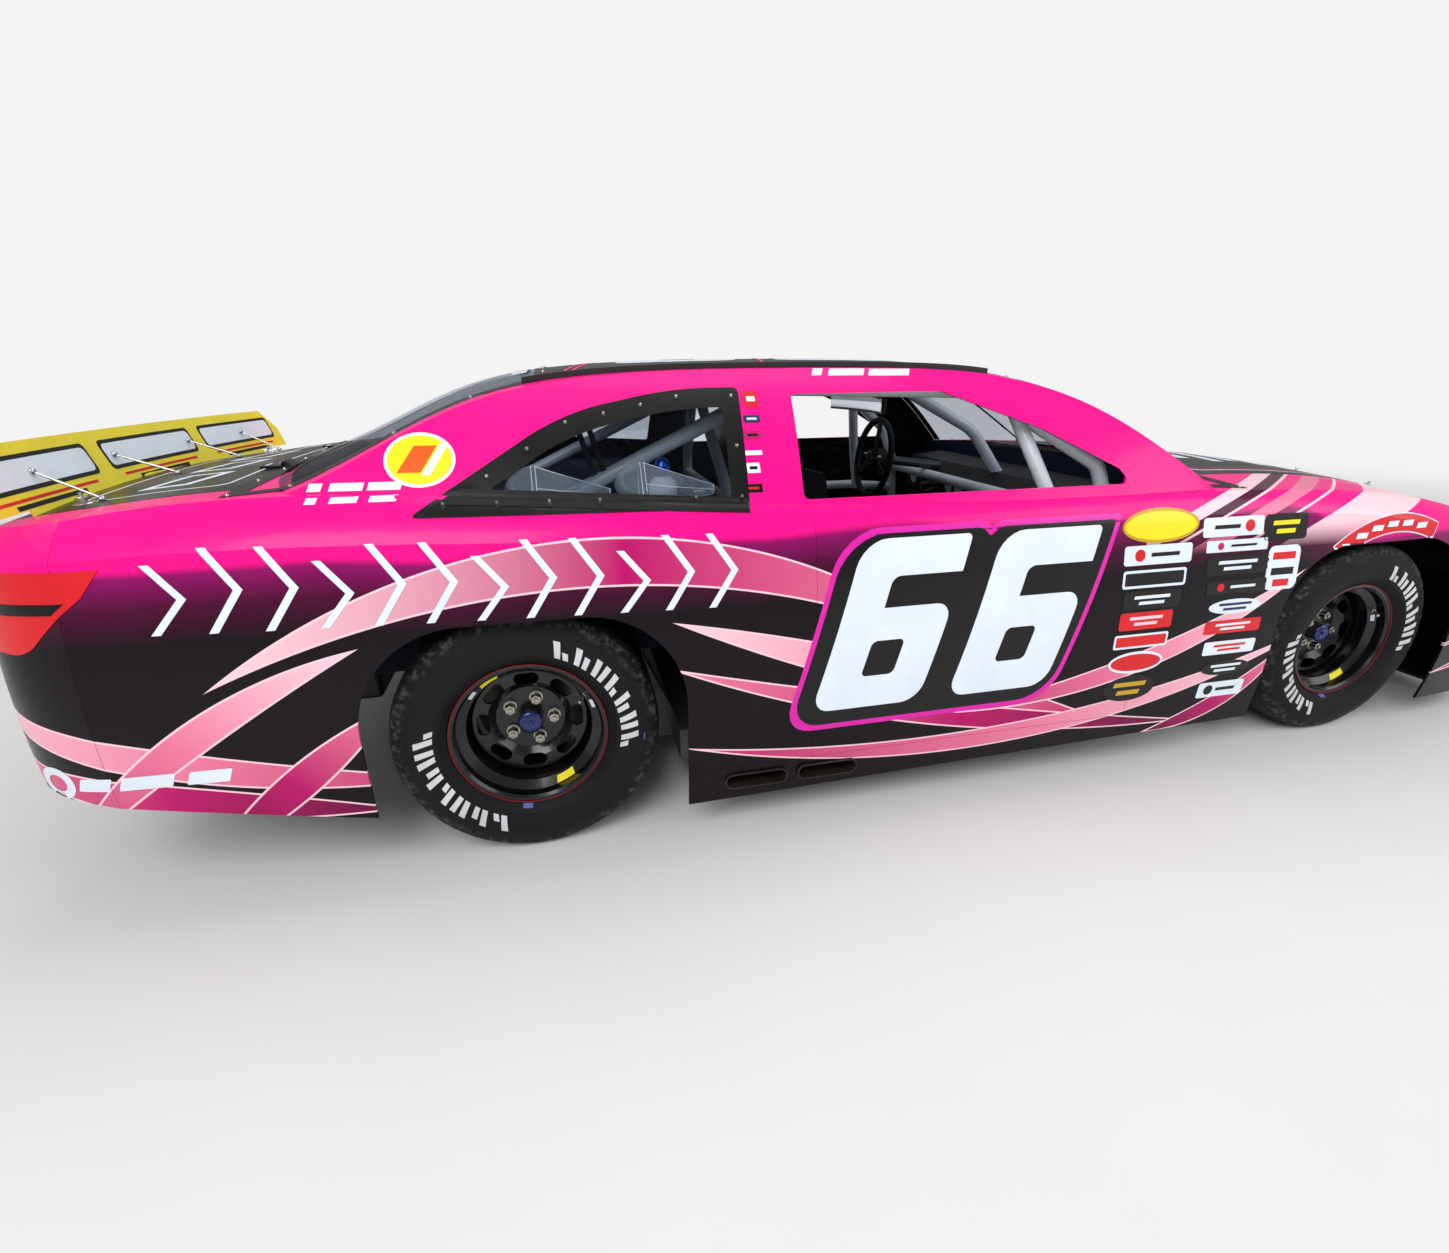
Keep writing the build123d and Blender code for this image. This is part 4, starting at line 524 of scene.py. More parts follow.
def ribbon(shape, path, sideways, width, thick):  # webbing with eased edges along a path
    path = [Vector(point) for point in path]
    sideways = Vector(sideways).normalized()
    rings = []
    for index, point in enumerate(path):
        ahead = aheadAt(path, index)
        flat = (sideways - ahead * sideways.dot(ahead)).normalized()
        up = ahead.cross(flat)
        rings.append([point + flat * across * width / 2 + up * rise * thick / 2 for across, rise in (
            (-1, -0.6), (-0.9, -1), (0.9, -1), (1, -0.6), (1, 0.6), (0.9, 1), (-0.9, 1), (-1, 0.6))])
    tube(shape, rings)
    bmesh.ops.recalc_face_normals(shape, faces=shape.faces[:])


def bent(points, steps=8):  # a smooth path through a few points
    points = [Vector(point) for point in points]
    made = []
    for index, (a, b) in enumerate(zip(points, points[1:])):
        before = points[index - 1] if index else a * 2 - b
        after = points[index + 2] if index + 2 < len(points) else b * 2 - a
        for step in range(steps):
            t = step / steps
            made.append(0.5 * (2 * a + (b - before) * t + (2 * before - 5 * a + 4 * b - after) * t * t
                               + (3 * a - before - 3 * b + after) * t ** 3))
    return made + [points[-1]]


# Printed sheets: outlines of (across, up, corner radius), filled, diced and laid on the body
sheetStock = {"firstLift": 0.0006, "step": 0.0005, "thickness": 0.0003, "pitch": 0.022, "least": 0.007,
              "longest": 0.12, "nudge": 0.003, "seam": 0.012, "from": 1.5}
sheets = {}  # one mesh for each finish and body


def outline(shape, corners):
    points = [shape.verts.new((across, 0.0, up)) for across, up, radius in corners]
    shape.faces.new(points)
    for point, (across, up, radius) in zip(points, corners):
        if radius:
            bevelled(shape, [point], radius, 6, "VERTICES")
    bmesh.ops.delete(shape, geom=shape.faces[:], context="FACES_ONLY")


def loopShape(loops, at=(0.0, 0.0), size=1.0, lean=0.0, pitch=None):
    shape = bmesh.new()
    for loop in loops:
        outline(shape, loop)
    for point in shape.verts:
        across, up = point.co.x, point.co.z
        point.co.x = at[0] + size * (across + lean * up)
        point.co.z = at[1] + size * up
    reach = max(max(abs(a.co.x - b.co.x), abs(a.co.z - b.co.z)) for a in shape.verts[:1] for b in shape.verts)
    pitch = pitch or min(sheetStock["pitch"], max(sheetStock["least"], reach / 5))
    bmesh.ops.triangle_fill(shape, edges=shape.edges[:], use_beauty=True)
    for axis in (0, 2):  # cut into cells small enough to bend over the body
        low = min(point.co[axis] for point in shape.verts)
        high = max(point.co[axis] for point in shape.verts)
        for count in range(1, int((high - low) / pitch) + 1):
            place, square = Vector(), Vector()
            place[axis] = low + count * pitch
            square[axis] = 1.0
            bmesh.ops.bisect_plane(shape, geom=shape.verts[:] + shape.edges[:] + shape.faces[:], dist=1e-5,
                                   plane_co=place, plane_no=square)
    return shape


def oval(width, height, middle=(0.0, 0.0), steps=40):
    return [(middle[0] + width / 2 * right, middle[1] + height / 2 * up, 0) for right, up in circle(steps)]


def plate(width, height, radius=0.0, middle=(0.0, 0.0)):
    left, low = middle[0] - width / 2, middle[1] - height / 2
    return [(left, low, radius), (left + width, low, radius), (left + width, low + height, radius),
            (left, low + height, radius)]


def shifted(corners, distance):  # the same loop, drawn in by a distance (out if it is negative)
    flat = [Vector(corner[:2]) for corner in corners]
    area = sum(a.x * b.y - b.x * a.y for a, b in zip(flat, flat[1:] + flat[:1]))
    made = []
    for index, (across, up, radius) in enumerate(corners):
        before = (flat[index] - flat[index - 1]).normalized()
        after = (flat[(index + 1) % len(flat)] - flat[index]).normalized()
        inward = [Vector((-way.y, way.x)) * (1 if area > 0 else -1) for way in (before, after)]
        push = (inward[0] + inward[1]) * distance / (1 + inward[0].dot(inward[1]))
        made.append((across + push.x, up + push.y, radius))
    return made


def lay(shape, key, surface, view, layer=0, body="chassis"):  # onto what the view's last way meets first
    origin, right, up, toward = (Vector(part) for part in view)
    toward.normalize()
    lift = sheetStock["firstLift"] + layer * sheetStock["step"]
    missed = []
    for point in shape.verts:
        start = origin + right * point.co.x + up * point.co.z
        straight, *besides = [hit if hit[0] is not None else None for hit in (
            surface.ray_cast(start + right * nudge, toward)
            for nudge in (0.0, sheetStock["nudge"], -sheetStock["nudge"]))]
        beside = min((hit for hit in besides if hit), key=lambda hit: hit[3], default=None)
        if beside and (straight is None or straight[3] - beside[3] > sheetStock["seam"]):  # a seam: take its edge
            straight = beside
        if straight is None:
            missed.append(point)
            continue
        normal = straight[1] if straight[1].dot(toward) < 0 else -straight[1]
        point.co = start + toward * straight[3] + normal * lift
    bmesh.ops.delete(shape, geom=missed, context="VERTS")
    spanning = [face for face in shape.faces
                if any(edge.calc_length() > sheetStock["longest"] for edge in face.edges)]
    bmesh.ops.delete(shape, geom=spanning, context="FACES")  # they would bridge a wheel opening
    shape.normal_update()
    bmesh.ops.reverse_faces(shape, faces=[face for face in shape.faces if face.normal.dot(toward) > 0])
    bmesh.ops.solidify(shape, geom=shape.faces[:], thickness=sheetStock["thickness"])
    mesh = bpy.data.meshes.new("sheet")
    shape.to_mesh(mesh)
    shape.free()
    sheets.setdefault((key, body), bmesh.new()).from_mesh(mesh)
    bpy.data.meshes.remove(mesh)


def sideView(side, middle=0.0, read=False):  # read: the same way round on both sides
    return (middle, side * sheetStock["from"], 0.0), (-side if read else 1, 0, 0), (0, 0, 1), (0, -side, 0)


def laySide(side, loops, key, layer=0, at=(0.0, 0.0), lean=0.0, size=1.0, middle=0.0, read=False, surface=sideSkin):
    lay(loopShape(loops, at, size, lean), key, surface, sideView(side, middle, read), layer)


def layTop(loops, key, layer=0, at=(0.0, 0.0), lean=0.0, size=1.0, body="chassis"):
    view = (0, 0, 2.0), (1, 0, 0), (0, 1, 0), (0, 0, -1)
    lay(loopShape(loops, at, size, lean), key, topSkin, view, layer, body)


# Numbers, plates and marks on both flanks
blockSix = [
    [(0, 0, 0.17), (1, 0, 0.17), (1, 0.88, 0.15), (0.36, 0.88, 0), (0.36, 1.14, 0.07), (1, 1.14, 0), (1, 1.45, 0.05),
     (0, 1.45, 0.22)],
    [(0.35, 0.29, 0.05), (0.65, 0.29, 0.05), (0.65, 0.60, 0.05), (0.35, 0.60, 0.05)],
]
numberPanel = {
    "middle": -0.11, "low": 0.36, "lean": 0.31, "unit": 0.3276, "digits": (-0.439, -0.018), "rim": 0.016,
    "panel": [(-0.49, -0.042, 0.09), (0.335, -0.042, 0.10), (0.35, 0.488, 0.012), (-0.03, 0.488, 0.02),
              (-0.055, 0.462, 0.01), (-0.08, 0.488, 0.02), (-0.49, 0.488, 0.11)],
}
stickerTable = (  # x, z, width, height, shape, base, edge or mark, how it is marked
    (0.548, 0.822, 0.270, 0.100, "oval", "gold", "yellow", "inner"),
    (0.545, 0.738, 0.240, 0.058, "plate", "white", "red", "left"),
    (0.540, 0.667, 0.225, 0.054, "plate", "white", "black", "inner"),
    (0.540, 0.602, 0.205, 0.056, "plate", "black", "white", "bars"),
    (0.530, 0.537, 0.190, 0.056, "plate", "red", "blush", "bars"),
    (0.525, 0.472, 0.195, 0.046, "plate", "white", "red", "inner"),
    (0.522, 0.400, 0.200, 0.074, "oval", "white", "red", "inner"),
    (0.520, 0.310, 0.190, 0.090, "oval", "black", "gold", "bars"),
    (0.812, 0.806, 0.225, 0.058, "plate", "white", "red", "right"),
    (0.832, 0.748, 0.230, 0.036, "plate", "white", "magenta", "left"),
    (0.842, 0.688, 0.235, 0.060, "plate", "black", "white", "bars"),
    (0.850, 0.620, 0.225, 0.042, "plate", "black", "red", "left"),
    (0.858, 0.556, 0.200, 0.048, "oval", "white", "navy", "bars"),
    (0.865, 0.490, 0.215, 0.044, "plate", "red", "white", "bars"),
    (0.872, 0.418, 0.200, 0.046, "plate", "white", "red", "bars"),
    (0.880, 0.345, 0.190, 0.052, "oval", "black", "white", "bars"),
    (0.888, 0.266, 0.180, 0.056, "plate", "white", "black", "left"),
    (1.012, 0.795, 0.165, 0.080, "plate", "black", "yellow", "bars"),
    (1.018, 0.668, 0.125, 0.140, "plate", "white", "red", "tall"),
)
pillarTable = (  # the small plates behind the door: z, width, height, colour, mark
    (1.185, 0.040, 0.042, "red", "white"), (1.135, 0.046, 0.018, "navy", "white"),
    (1.095, 0.048, 0.020, "magenta", "black"), (1.052, 0.050, 0.011, "white", None),
    (1.016, 0.036, 0.024, "white", "black"), (0.968, 0.048, 0.020, "black", "red"),
)
chevronRow = {"count": 12, "first": (-2.07, 0.722), "last": (-0.83, 0.690), "tall": 0.184, "stroke": 0.019,
              "point": 0.062, "every": 3, "short": 0.82}
roundMark = {"at": (-1.500, 1.060), "sizes": (((0.166, 0.120), "white", 1), ((0.150, 0.106), "yellow", 2)),
             "bar": [(-0.045, -0.028, 0), (0.01, -0.028, 0), (0.048, 0.030, 0), (-0.005, 0.030, 0)],
             "stroke": [(-0.012, -0.034, 0), (0.008, -0.034, 0), (0.052, 0.034, 0), (0.032, 0.034, 0)]}
archKit = {"middle": (1.485, 0.350), "outer": 0.458, "inner": 0.404, "rim": 0.004, "turns": (112, 103, 94, 85, 76)}


def onArch(radius, degrees):
    turn = math.radians(degrees)
    return archKit["middle"][0] + radius * math.cos(turn), archKit["middle"][1] + radius * math.sin(turn)


def sticker(side, across, height, width, tall, kind, base, mark, marking):
    def put(loop, key, layer, right=0.0, up=0.0, lean=0.0):
        laySide(side, [loop], key, layer, (across + right, height + up), lean)

    rim = min(0.006, tall * 0.1)
    put(oval(width, tall) if kind == "oval" else plate(width, tall, tall * 0.16), base, 1)
    if marking == "inner":
        inside = width - 3 * rim, tall - 3 * rim
        put(oval(*inside) if kind == "oval" else plate(*inside, rim), mark, 2)
    elif marking == "bars":
        for up, share in ((0.16, 0.62), (-0.16, 0.44)):
            put(plate(width * share, tall * 0.17), mark, 2, up=tall * up, lean=0.2)
    elif marking == "tall":
        for up, share, key in ((0.27, 0.70, mark), (-0.08, 0.70, "black"), (-0.34, 0.50, mark)):
            put(plate(width * share, tall * 0.16), key, 2, up=tall * up)
    else:  # a dot on one side and a bar on the other
        reach = (0.30 if marking == "right" else -0.30) * side * width
        put(oval(tall * 0.62, tall * 0.62), mark, 2, -reach * 0.9)
        put(plate(width * 0.42, tall * 0.2), "black" if base == "white" else "white", 2, reach * 0.35, lean=0.2)


for side in (-1, 1):
    kit = numberPanel
    for loops, key, layer, left, unit in (
            ([shifted(kit["panel"], -kit["rim"])], "fuchsia", 0, 0.0, 1.0), ([kit["panel"]], "black", 1, 0.0, 1.0),
            *((blockSix, "white", 2, left, kit["unit"]) for left in kit["digits"])):
        laySide(side, loops, key, layer, (left, kit["low"]), kit["lean"], unit, kit["middle"], True)
    for row in stickerTable:
        sticker(side, *row)
    kit = chevronRow
    for index in range(kit["count"]):
        place = Vector(kit["first"]).lerp(Vector(kit["last"]), index / (kit["count"] - 1))
        stroke, point = kit["stroke"], kit["point"]
        tall = kit["tall"] * (1.0 if index % kit["every"] else kit["short"])
        laySide(side, [[(0, 0, 0), (stroke, 0, 0), (stroke + point, tall / 2, 0), (stroke, tall, 0), (0, tall, 0),
                        (point, tall / 2, 0)]], "white", 1, place)
    kit = roundMark  # behind the side window, with a few bars
    for size, key, layer in kit["sizes"]:
        laySide(side, [oval(*size)], key, layer, kit["at"])
    laySide(side, [kit["bar"]], "orange", 3, (kit["at"][0] - 0.008, kit["at"][1]))
    laySide(side, [kit["stroke"]], "white", 3, (kit["at"][0] + 0.016, kit["at"][1]))
    for across, width in ((-1.735, 0.030), (-1.665, 0.075), (-1.580, 0.075)):
        laySide(side, [plate(width, 0.017)], "white", 1, (across, 1.006), 0.3)
        laySide(side, [plate(width * 0.8, 0.012)], "white", 1, (across, 0.982), 0.3)
    for height, width, tall, base, mark in pillarTable:
        across = -0.640 + (height - 1.195) * 0.17  # the pillar leans
        laySide(side, [plate(width, tall, 0.002)], base, 1, (across, height))
        if mark:
            laySide(side, [plate(width * 0.6, tall * 0.3)], mark, 2, (across, height))
    roofEdge = (0.0, side * 1.398, 1.852), (1, 0, 0), (0, -side * 0.6, 0.8), (0, -side * 0.8, -0.6)
    for across, width in ((-0.425, 0.030), (-0.335, 0.110), (-0.200, 0.130)):
        shape = loopShape([plate(width, 0.026)], (across, -0.012 * (across + 0.3)), 1.0, 0.4, 0.008)
        lay(shape, "white", sideSkin, roofEdge, 2)
    for across, width in ((-2.27, 0.07), (-2.16, 0.11), (-2.03, 0.09)):  # a plain mark low on the tail
        laySide(side, [plate(width, 0.034, 0.004)], "white", 1, (across, 0.375), 0.4)
    laySide(side, [oval(0.085, 0.085), oval(0.045, 0.045)], "white", 1, (-2.36, 0.375))
    kit = archKit  # the red strip over the front arch
    strip = [(*onArch(kit["outer"], degrees), 0) for degrees in range(126, 64, -4)]
    strip += [(*onArch(kit["inner"], degrees), 0) for degrees in range(66, 130, 4)]
    for loop, key, layer in ((shifted(strip, -kit["rim"]), "white", 1), (strip, "red", 3)):
        lay(loopShape([loop], pitch=0.010), key, sideSkin, sideView(side), layer)
    for degrees in kit["turns"]:
        shape = loopShape([plate(0.046, 0.018)], onArch(0.430, degrees), 1.0, 0.35, 0.006)
        lay(shape, "white", sideSkin, sideView(side), 6)
# a fuel filler on the left flank alone
laySide(1, [oval(0.150, 0.150)], "black", 2, (-2.005, 0.600))
laySide(1, [oval(0.128, 0.128), oval(0.112, 0.112)], "grey", 3, (-2.005, 0.600))
print("stage: flank marks")

# Tyres and what sits in the wheels. Profiles are (out from the wheel's middle, radius).
tyreHalf = [
    (0.000, 0.3500), (0.070, 0.3497), (0.105, 0.3490), (0.118, 0.3465), (0.127, 0.3410), (0.134, 0.3320),
    (0.1395, 0.3180), (0.1475, 0.3000), (0.1505, 0.2850), (0.1510, 0.2700), (0.1500, 0.2560), (0.1478, 0.2420),
    (0.1455, 0.2340), (0.1448, 0.2326), (0.1460, 0.2316), (0.1452, 0.2276), (0.1432, 0.2262), (0.1360, 0.2170),
    (0.1280, 0.2110), (0.1220, 0.2062), (0.1175, 0.1985), (0.1110, 0.1962),
]
tyreProfile = tyreHalf + [(-across, radius) for across, radius in reversed(tyreHalf[1:])]
capProfile = [(0.0470, 0.0335), (0.0520, 0.0330), (0.0555, 0.0300), (0.0575, 0.0220), (0.0560, 0.0190),
              (0.0560, 0.0080), (0.0600, 0.0070), (0.0612, 0.0000)]
rimSlope = [(0.0905, 0.1890), (0.0765, 0.1662)]
wheelKit = {
    "steps": 128, "capSteps": 48, "lift": 0.0007, "patchThick": 0.0005, "studs": 0.0635, "face": 0.015, "nuts": 5,
    "nutParts": ((0.0205, 0.004, 24), (0.0158, 0.0250, 6), (0.0075, 0.031, 16)),  # radius, height, sides
    "valveTurn": 60, "valveParts": ((0.0062, 0.0, 0.012), (0.0042, 0.012, 0.024), (0.0050, 0.034, 0.008)),
    "marksLow": 0.240, "marksHigh": 0.286, "marksFrom": (22, 202), "marksPitch": 12.4, "marks": 7,
    "line": (0.1262, 0.2045, 0.0018),  # out, radius and thickness of the red line where rubber meets rim
}


def outAt(radius, profile):
    for (outA, highA), (outB, highB) in zip(profile, profile[1:]):
        if min(highA, highB) <= radius <= max(highA, highB) and highA != highB:
            return outA + (outB - outA) * (radius - highA) / (highB - highA)
    return profile[-1][0]


def around(wheel, degrees, radius, across):  # clock angle, radius and distance outboard
    hub, out = wheel
    turn = math.radians(degrees)
    return Vector((hub.x + radius * math.sin(turn), hub.y + out * across, hub.z + radius * math.cos(turn)))


def patch(shape, wheel, degrees, span, low, high, slant=0.0, profile=tyreHalf, lift=wheelKit["lift"]):
    made = bmesh.ops.create_grid(shape, x_segments=4, y_segments=6, size=0.5)["verts"]
    for point in made:
        radius = low + (high - low) * (point.co.y + 0.5)
        place = degrees + span * point.co.x + slant * (point.co.y + 0.5)
        point.co = around(wheel, place, radius, outAt(radius, profile) + lift)
    faces = list({face for point in made for face in point.link_faces})
    shape.normal_update()
    bmesh.ops.reverse_faces(shape, faces=[face for face in faces if face.normal.y * wheel[1] < 0])
    bmesh.ops.solidify(shape, geom=faces, thickness=wheelKit["patchThick"])


def patches(wheel, rows, **settings):
    shape = bmesh.new()
    for row in rows:
        patch(shape, wheel, *row, **settings)
    return shape


for corner in corners:
    low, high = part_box("tyre_" + corner)
    hub = Vector([(low[axis] + high[axis]) / 2 for axis in range(3)])
    out = 1 if hub.y > 0 else -1
    wheel, body, kit = (hub, out), "wheel_" + corner, wheelKit

    def spun(profile, steps, closed):  # turned about the axle
        shape = bmesh.new()
        path = [(hub.x, hub.y + out * across, hub.z + radius) for across, radius in profile]
        turned(shape, path, hub, (0, 1, 0), steps, closed)
        return shape

    nuts = bmesh.new()
    for index in range(kit["nuts"]):
        seat = around(wheel, 360 * index / kit["nuts"] + 90, kit["studs"], kit["face"])
        placed = Matrix.Translation(seat) @ Matrix.Rotation(-math.pi / 2 * out, 4, "X")
        for radius, tall, sides in kit["nutParts"]:
            made = cone(nuts, placed, radius, radius * 0.93, tall, sides)
            tops = [edge for edge in {edge for point in made for edge in point.link_edges}
                    if all((point.co.y - seat.y) * out > tall * 0.9 for point in edge.verts)]
            bevelled(nuts, tops, radius * 0.14, 2)
    valve = bmesh.new()  # through the rim's drop
    foot = around(wheel, kit["valveTurn"], 0.1790, 0.0840)
    placed = Matrix.Translation(foot) @ facing(around(wheel, kit["valveTurn"], 0.1600, 0.1150) - foot)
    for radius, base, tall in kit["valveParts"]:
        cone(valve, placed, radius, radius * 0.9, tall, 14, base)

    marks = []
    for start in kit["marksFrom"]:
        for index in range(kit["marks"]):
            place, high = start + kit["marksPitch"] * index, kit["marksHigh"]
            marks.append((place, 3.6, kit["marksLow"], high, -3.0))
            marks.append((place + 5.2, 3.4, kit["marksLow"], high - 0.026 + 0.013 * (index % 3), -2.0))
    lineOut, lineRadius, thick = kit["line"]
    line = [(lineOut + right, lineRadius + up) for right, up in circle(8, thick)]
    onSlope = {"profile": rimSlope, "lift": 0.0012}
    wheelPieces = (  # name, shape, finish, slot, sharp angle, replaced nodes
        ("tyreBody", spun(tyreProfile, kit["steps"], True), "tyreRubber", "tyre_rubber", 50, ["tyre_" + corner]),
        ("sidewallMarks", patches(wheel, marks), "tyreWhite", "tyre_rubber", 50, ()),
        ("sidewallSpots", patches(wheel, ((187, 7, 0.2090, 0.2180), (96, 4, 0.3020, 0.3060))), "tyreBlue",
         "tyre_rubber", 50, ()),
        ("rimLine", spun(line, kit["steps"], True), "rimRed", "wheel_paint", 60, ()),
        ("rimTags", patches(wheel, [(turn, 17, 0.1700, 0.1870, 2.0) for turn in (-32, 152)], **onSlope),
         "yellowVinyl", "wheel_paint", 50, ()),
        ("rimLabels", patches(wheel, [(turn, 8, 0.1730, 0.1830) for turn in (-50, 72)], **onSlope),
         "whiteVinyl", "wheel_paint", 50, ()),
        ("lugNuts", nuts, "nutSteel", "wheel_paint", 30, ()),
        ("hubCap", spun(capProfile, kit["capSteps"], False), "capBlue", "brake_iron", 40, ()),
        ("tyreValve", valve, "pinSteel", "wheel_paint", 40, ()),
    )
    for name, shape, finish, slot, sharp, replaced in wheelPieces:
        addPiece(name + joined(corner), shape, finish, body, sharp, replaced)
print("stage: tyres and wheels")

# Window edges
windowKit = {"lap": 0.010, "band": 0.040, "screwPitch": 0.115, "screw": 0.0058, "screwTall": 0.0022,
             "lowerBand": 0.029, "overSeal": 0.010, "over": 0.002, "sealTop": 0.975}
quarterOpening = [(-1.489, 0.950, 0.02), (-0.706, 0.935, 0.016), (-0.683, 1.205, 0.016), (-0.850, 1.205, 0.10),
                  (-1.152, 1.147, 0.10)]
windshieldHalf = [(0.215, 0.562), (0.473, 0.648), (0.800, 0.836), (0.925, 0.862)]
rearGlassHalf = [(-1.180, 0.566), (-1.378, 0.606), (-1.566, 0.664), (-1.800, 0.742), (-1.940, 0.786)]
sealKit = {  # over the step from the quarter panel up to the glass
    "from": -1.432, "to": -0.704, "steps": 60, "rows": (-0.020, -0.014, -0.008, -0.003, -0.003, 0.008, 0.012),
    "slant": 1.71, "beadRow": 4, "bead": (0.003, 0.007), "lift": 0.0024, "tall": 0.0012, "near": 0.9,
    "between": (0.925, 1.010),
}
panelSkin = surfaceOf("quarter_panels")
windowSkin = surfaceOf("windows", "roof_shell", "quarter_panels", "door_panels")
screws = bmesh.new()


def alongLoop(corners, pitch):  # evenly spaced spots round a loop
    flat = [Vector(corner[:2]) for corner in corners]
    spots = []
    for first, second in zip(flat, flat[1:] + flat[:1]):
        count = max(1, round((second - first).length / pitch))
        spots += [first.lerp(second, index / count) for index in range(count)]
    return spots


def screwAt(surface, start, toward, over):
    radius, tall = windowKit["screw"], windowKit["screwTall"] + over
    spot, normal, index, distance = surface.ray_cast(Vector(start), Vector(toward))
    if spot is None:
        return
    normal = normal if normal.dot(Vector(toward)) < 0 else -normal
    made = cone(screws, Matrix.Translation(spot) @ facing(normal), radius, radius * 0.72, tall, 12, 0.001)
    faces = {face for point in made for face in point.link_faces if len(face.verts) == 12}
    top = [face for face in faces if (face.calc_center_median() - spot).dot(normal) > tall * 0.6]
    bmesh.ops.inset_region(screws, faces=top, thickness=radius * 0.34, depth=-tall * 0.3)


def panelTop(across, side):  # the height where the panel ends and the glass begins
    low, high = sealKit["between"]
    for halving in range(16):
        middle = (low + high) / 2
        away = panelSkin.ray_cast(Vector((across, side * 1.5, middle)), Vector((0, -side, 0)))[3]
        low, high = (middle, high) if away is not None and away < sealKit["near"] else (low, middle)
    return low


for side in (-1, 1):
    inner = shifted(quarterOpening, windowKit["band"])
    inner[1] = (inner[1][0], inner[1][1] - windowKit["lowerBand"], inner[1][2])
    laySide(side, [shifted(quarterOpening, -windowKit["lap"]), inner], "black", 2, surface=windowSkin)
    for spot in alongLoop(shifted(quarterOpening, 0.012), windowKit["screwPitch"]):
        over = windowKit["overSeal" if spot.y < windowKit["sealTop"] else "over"]
        screwAt(windowSkin, (spot.x, side * 1.5, spot.y), (0, -side, 0), over)
    kit, rows = sealKit, sealKit["rows"]
    shape = bmesh.new()
    bmesh.ops.create_grid(shape, x_segments=kit["steps"], y_segments=len(rows) - 1, size=0.5)
    for point in shape.verts:
        along = point.co.x + 0.5
        row = round((point.co.y + 0.5) * (len(rows) - 1))
        across = kit["from"] + (kit["to"] - kit["from"]) * along
        across += rows[row] * kit["slant"] * (1 - along)  # the rear end leans as the window's rear edge does
        start = Vector((across, side * 1.5, panelTop(across, side) + rows[row]))
        spot, normal, index, distance = windowSkin.ray_cast(start, Vector((0, -side, 0)))
        point.co = spot + (normal if normal.y * side > 0 else -normal) * kit["lift"]
        if row == kit["beadRow"]:  # the bead over the panel's rim
            point.co += Vector((0.0, -side * kit["bead"][0], kit["bead"][1]))
    bmesh.ops.recalc_face_normals(shape, faces=shape.faces[:])
    bmesh.ops.reverse_faces(shape, faces=[face for face in shape.faces if face.normal.y * side < 0])
    bmesh.ops.solidify(shape, geom=shape.faces[:], thickness=kit["tall"])
    addPiece("windowSeal" + ("Left" if side > 0 else "Right"), shape, "sealBlack", sharp=30)
for half in (windshieldHalf, rearGlassHalf):
    edge = [(across, -up, 0.0) for across, up in half] + [(across, up, 0.0) for across, up in reversed(half)]
    layTop([edge, shifted(edge, windowKit["band"])], "black", 2)
    for spot in alongLoop(shifted(edge, 0.014), windowKit["screwPitch"] * 1.6):
        screwAt(topSkin, (spot.x, spot.y, 2.0), (0, 0, -1), windowKit["over"])
addPiece("windowScrews", screws, "nutSteel", sharp=30)
for across in (-0.22, 0.22):  # straps over both glasses, closer together at the roof
    for rear, rearSide, front, frontSide, half in ((-1.93, across, -1.19, across * 0.8, 0.013),
                                                   (0.24, across * 0.8, 0.90, across, 0.011)):
        layTop([[(rear, rearSide - half, 0), (front, frontSide - half, 0), (front, frontSide + half, 0),
                 (rear, rearSide + half, 0)]], "grey", 3)

# Roof, hood, deck and blade
roofKit = {"unit": 0.395, "low": -0.300, "digits": (-0.985, -0.455), "lean": 0.22,
           "stripes": (-1.145, -1.120, -0.545, 0.090)}
hoodEdge = [(0.985, -0.600, 0.06), (2.055, -0.510, 0.06), (2.055, 0.510, 0.06), (0.985, 0.600, 0.06)]
deckEdge = plate(0.330, 1.200, 0.04, (-2.155, 0.0))
layTop([plate(0.045, 0.62, 0.01)], "white", 3, (-1.265, 0.0))
for left in roofKit["digits"]:
    layTop(blockSix, "white", 1, (left, roofKit["low"]), roofKit["lean"], roofKit["unit"])
for left in roofKit["stripes"]:
    layTop([[(0, -0.45, 0), (0.010, -0.45, 0), (0.190, 0.45, 0), (0.180, 0.45, 0)]], "pink", 1, (left, 0.0))
for loop, width, key in ((hoodEdge, 0.008, "white"), (shifted(hoodEdge, 0.030), 0.005, "pink")):
    layTop([loop, shifted(loop, width)], key, body="hood")
for index, across in enumerate((1.16, 1.28, 1.40, 1.52, 1.64, 1.76)):
    wide, narrow = (0.30, 0.42) if index % 2 else (0.42, 0.30)
    layTop([plate(0.060, wide, 0.004)], "white", 0, (across, -0.16), 0.25, body="hood")
    layTop([plate(0.060, narrow, 0.004)], "grey", 0, (across + 0.03, 0.30), 0.25, body="hood")
layTop([deckEdge, shifted(deckEdge, 0.008)], "white", body="deck_lid")
for across in (-0.42, -0.14, 0.14, 0.42):
    layTop([plate(0.120, 0.200, 0.006)], "white", 0, (-2.150, across), 0.2, body="deck_lid")
    layTop([plate(0.070, 0.150, 0.004)], "black", 1, (-2.150, across), 0.2, body="deck_lid")

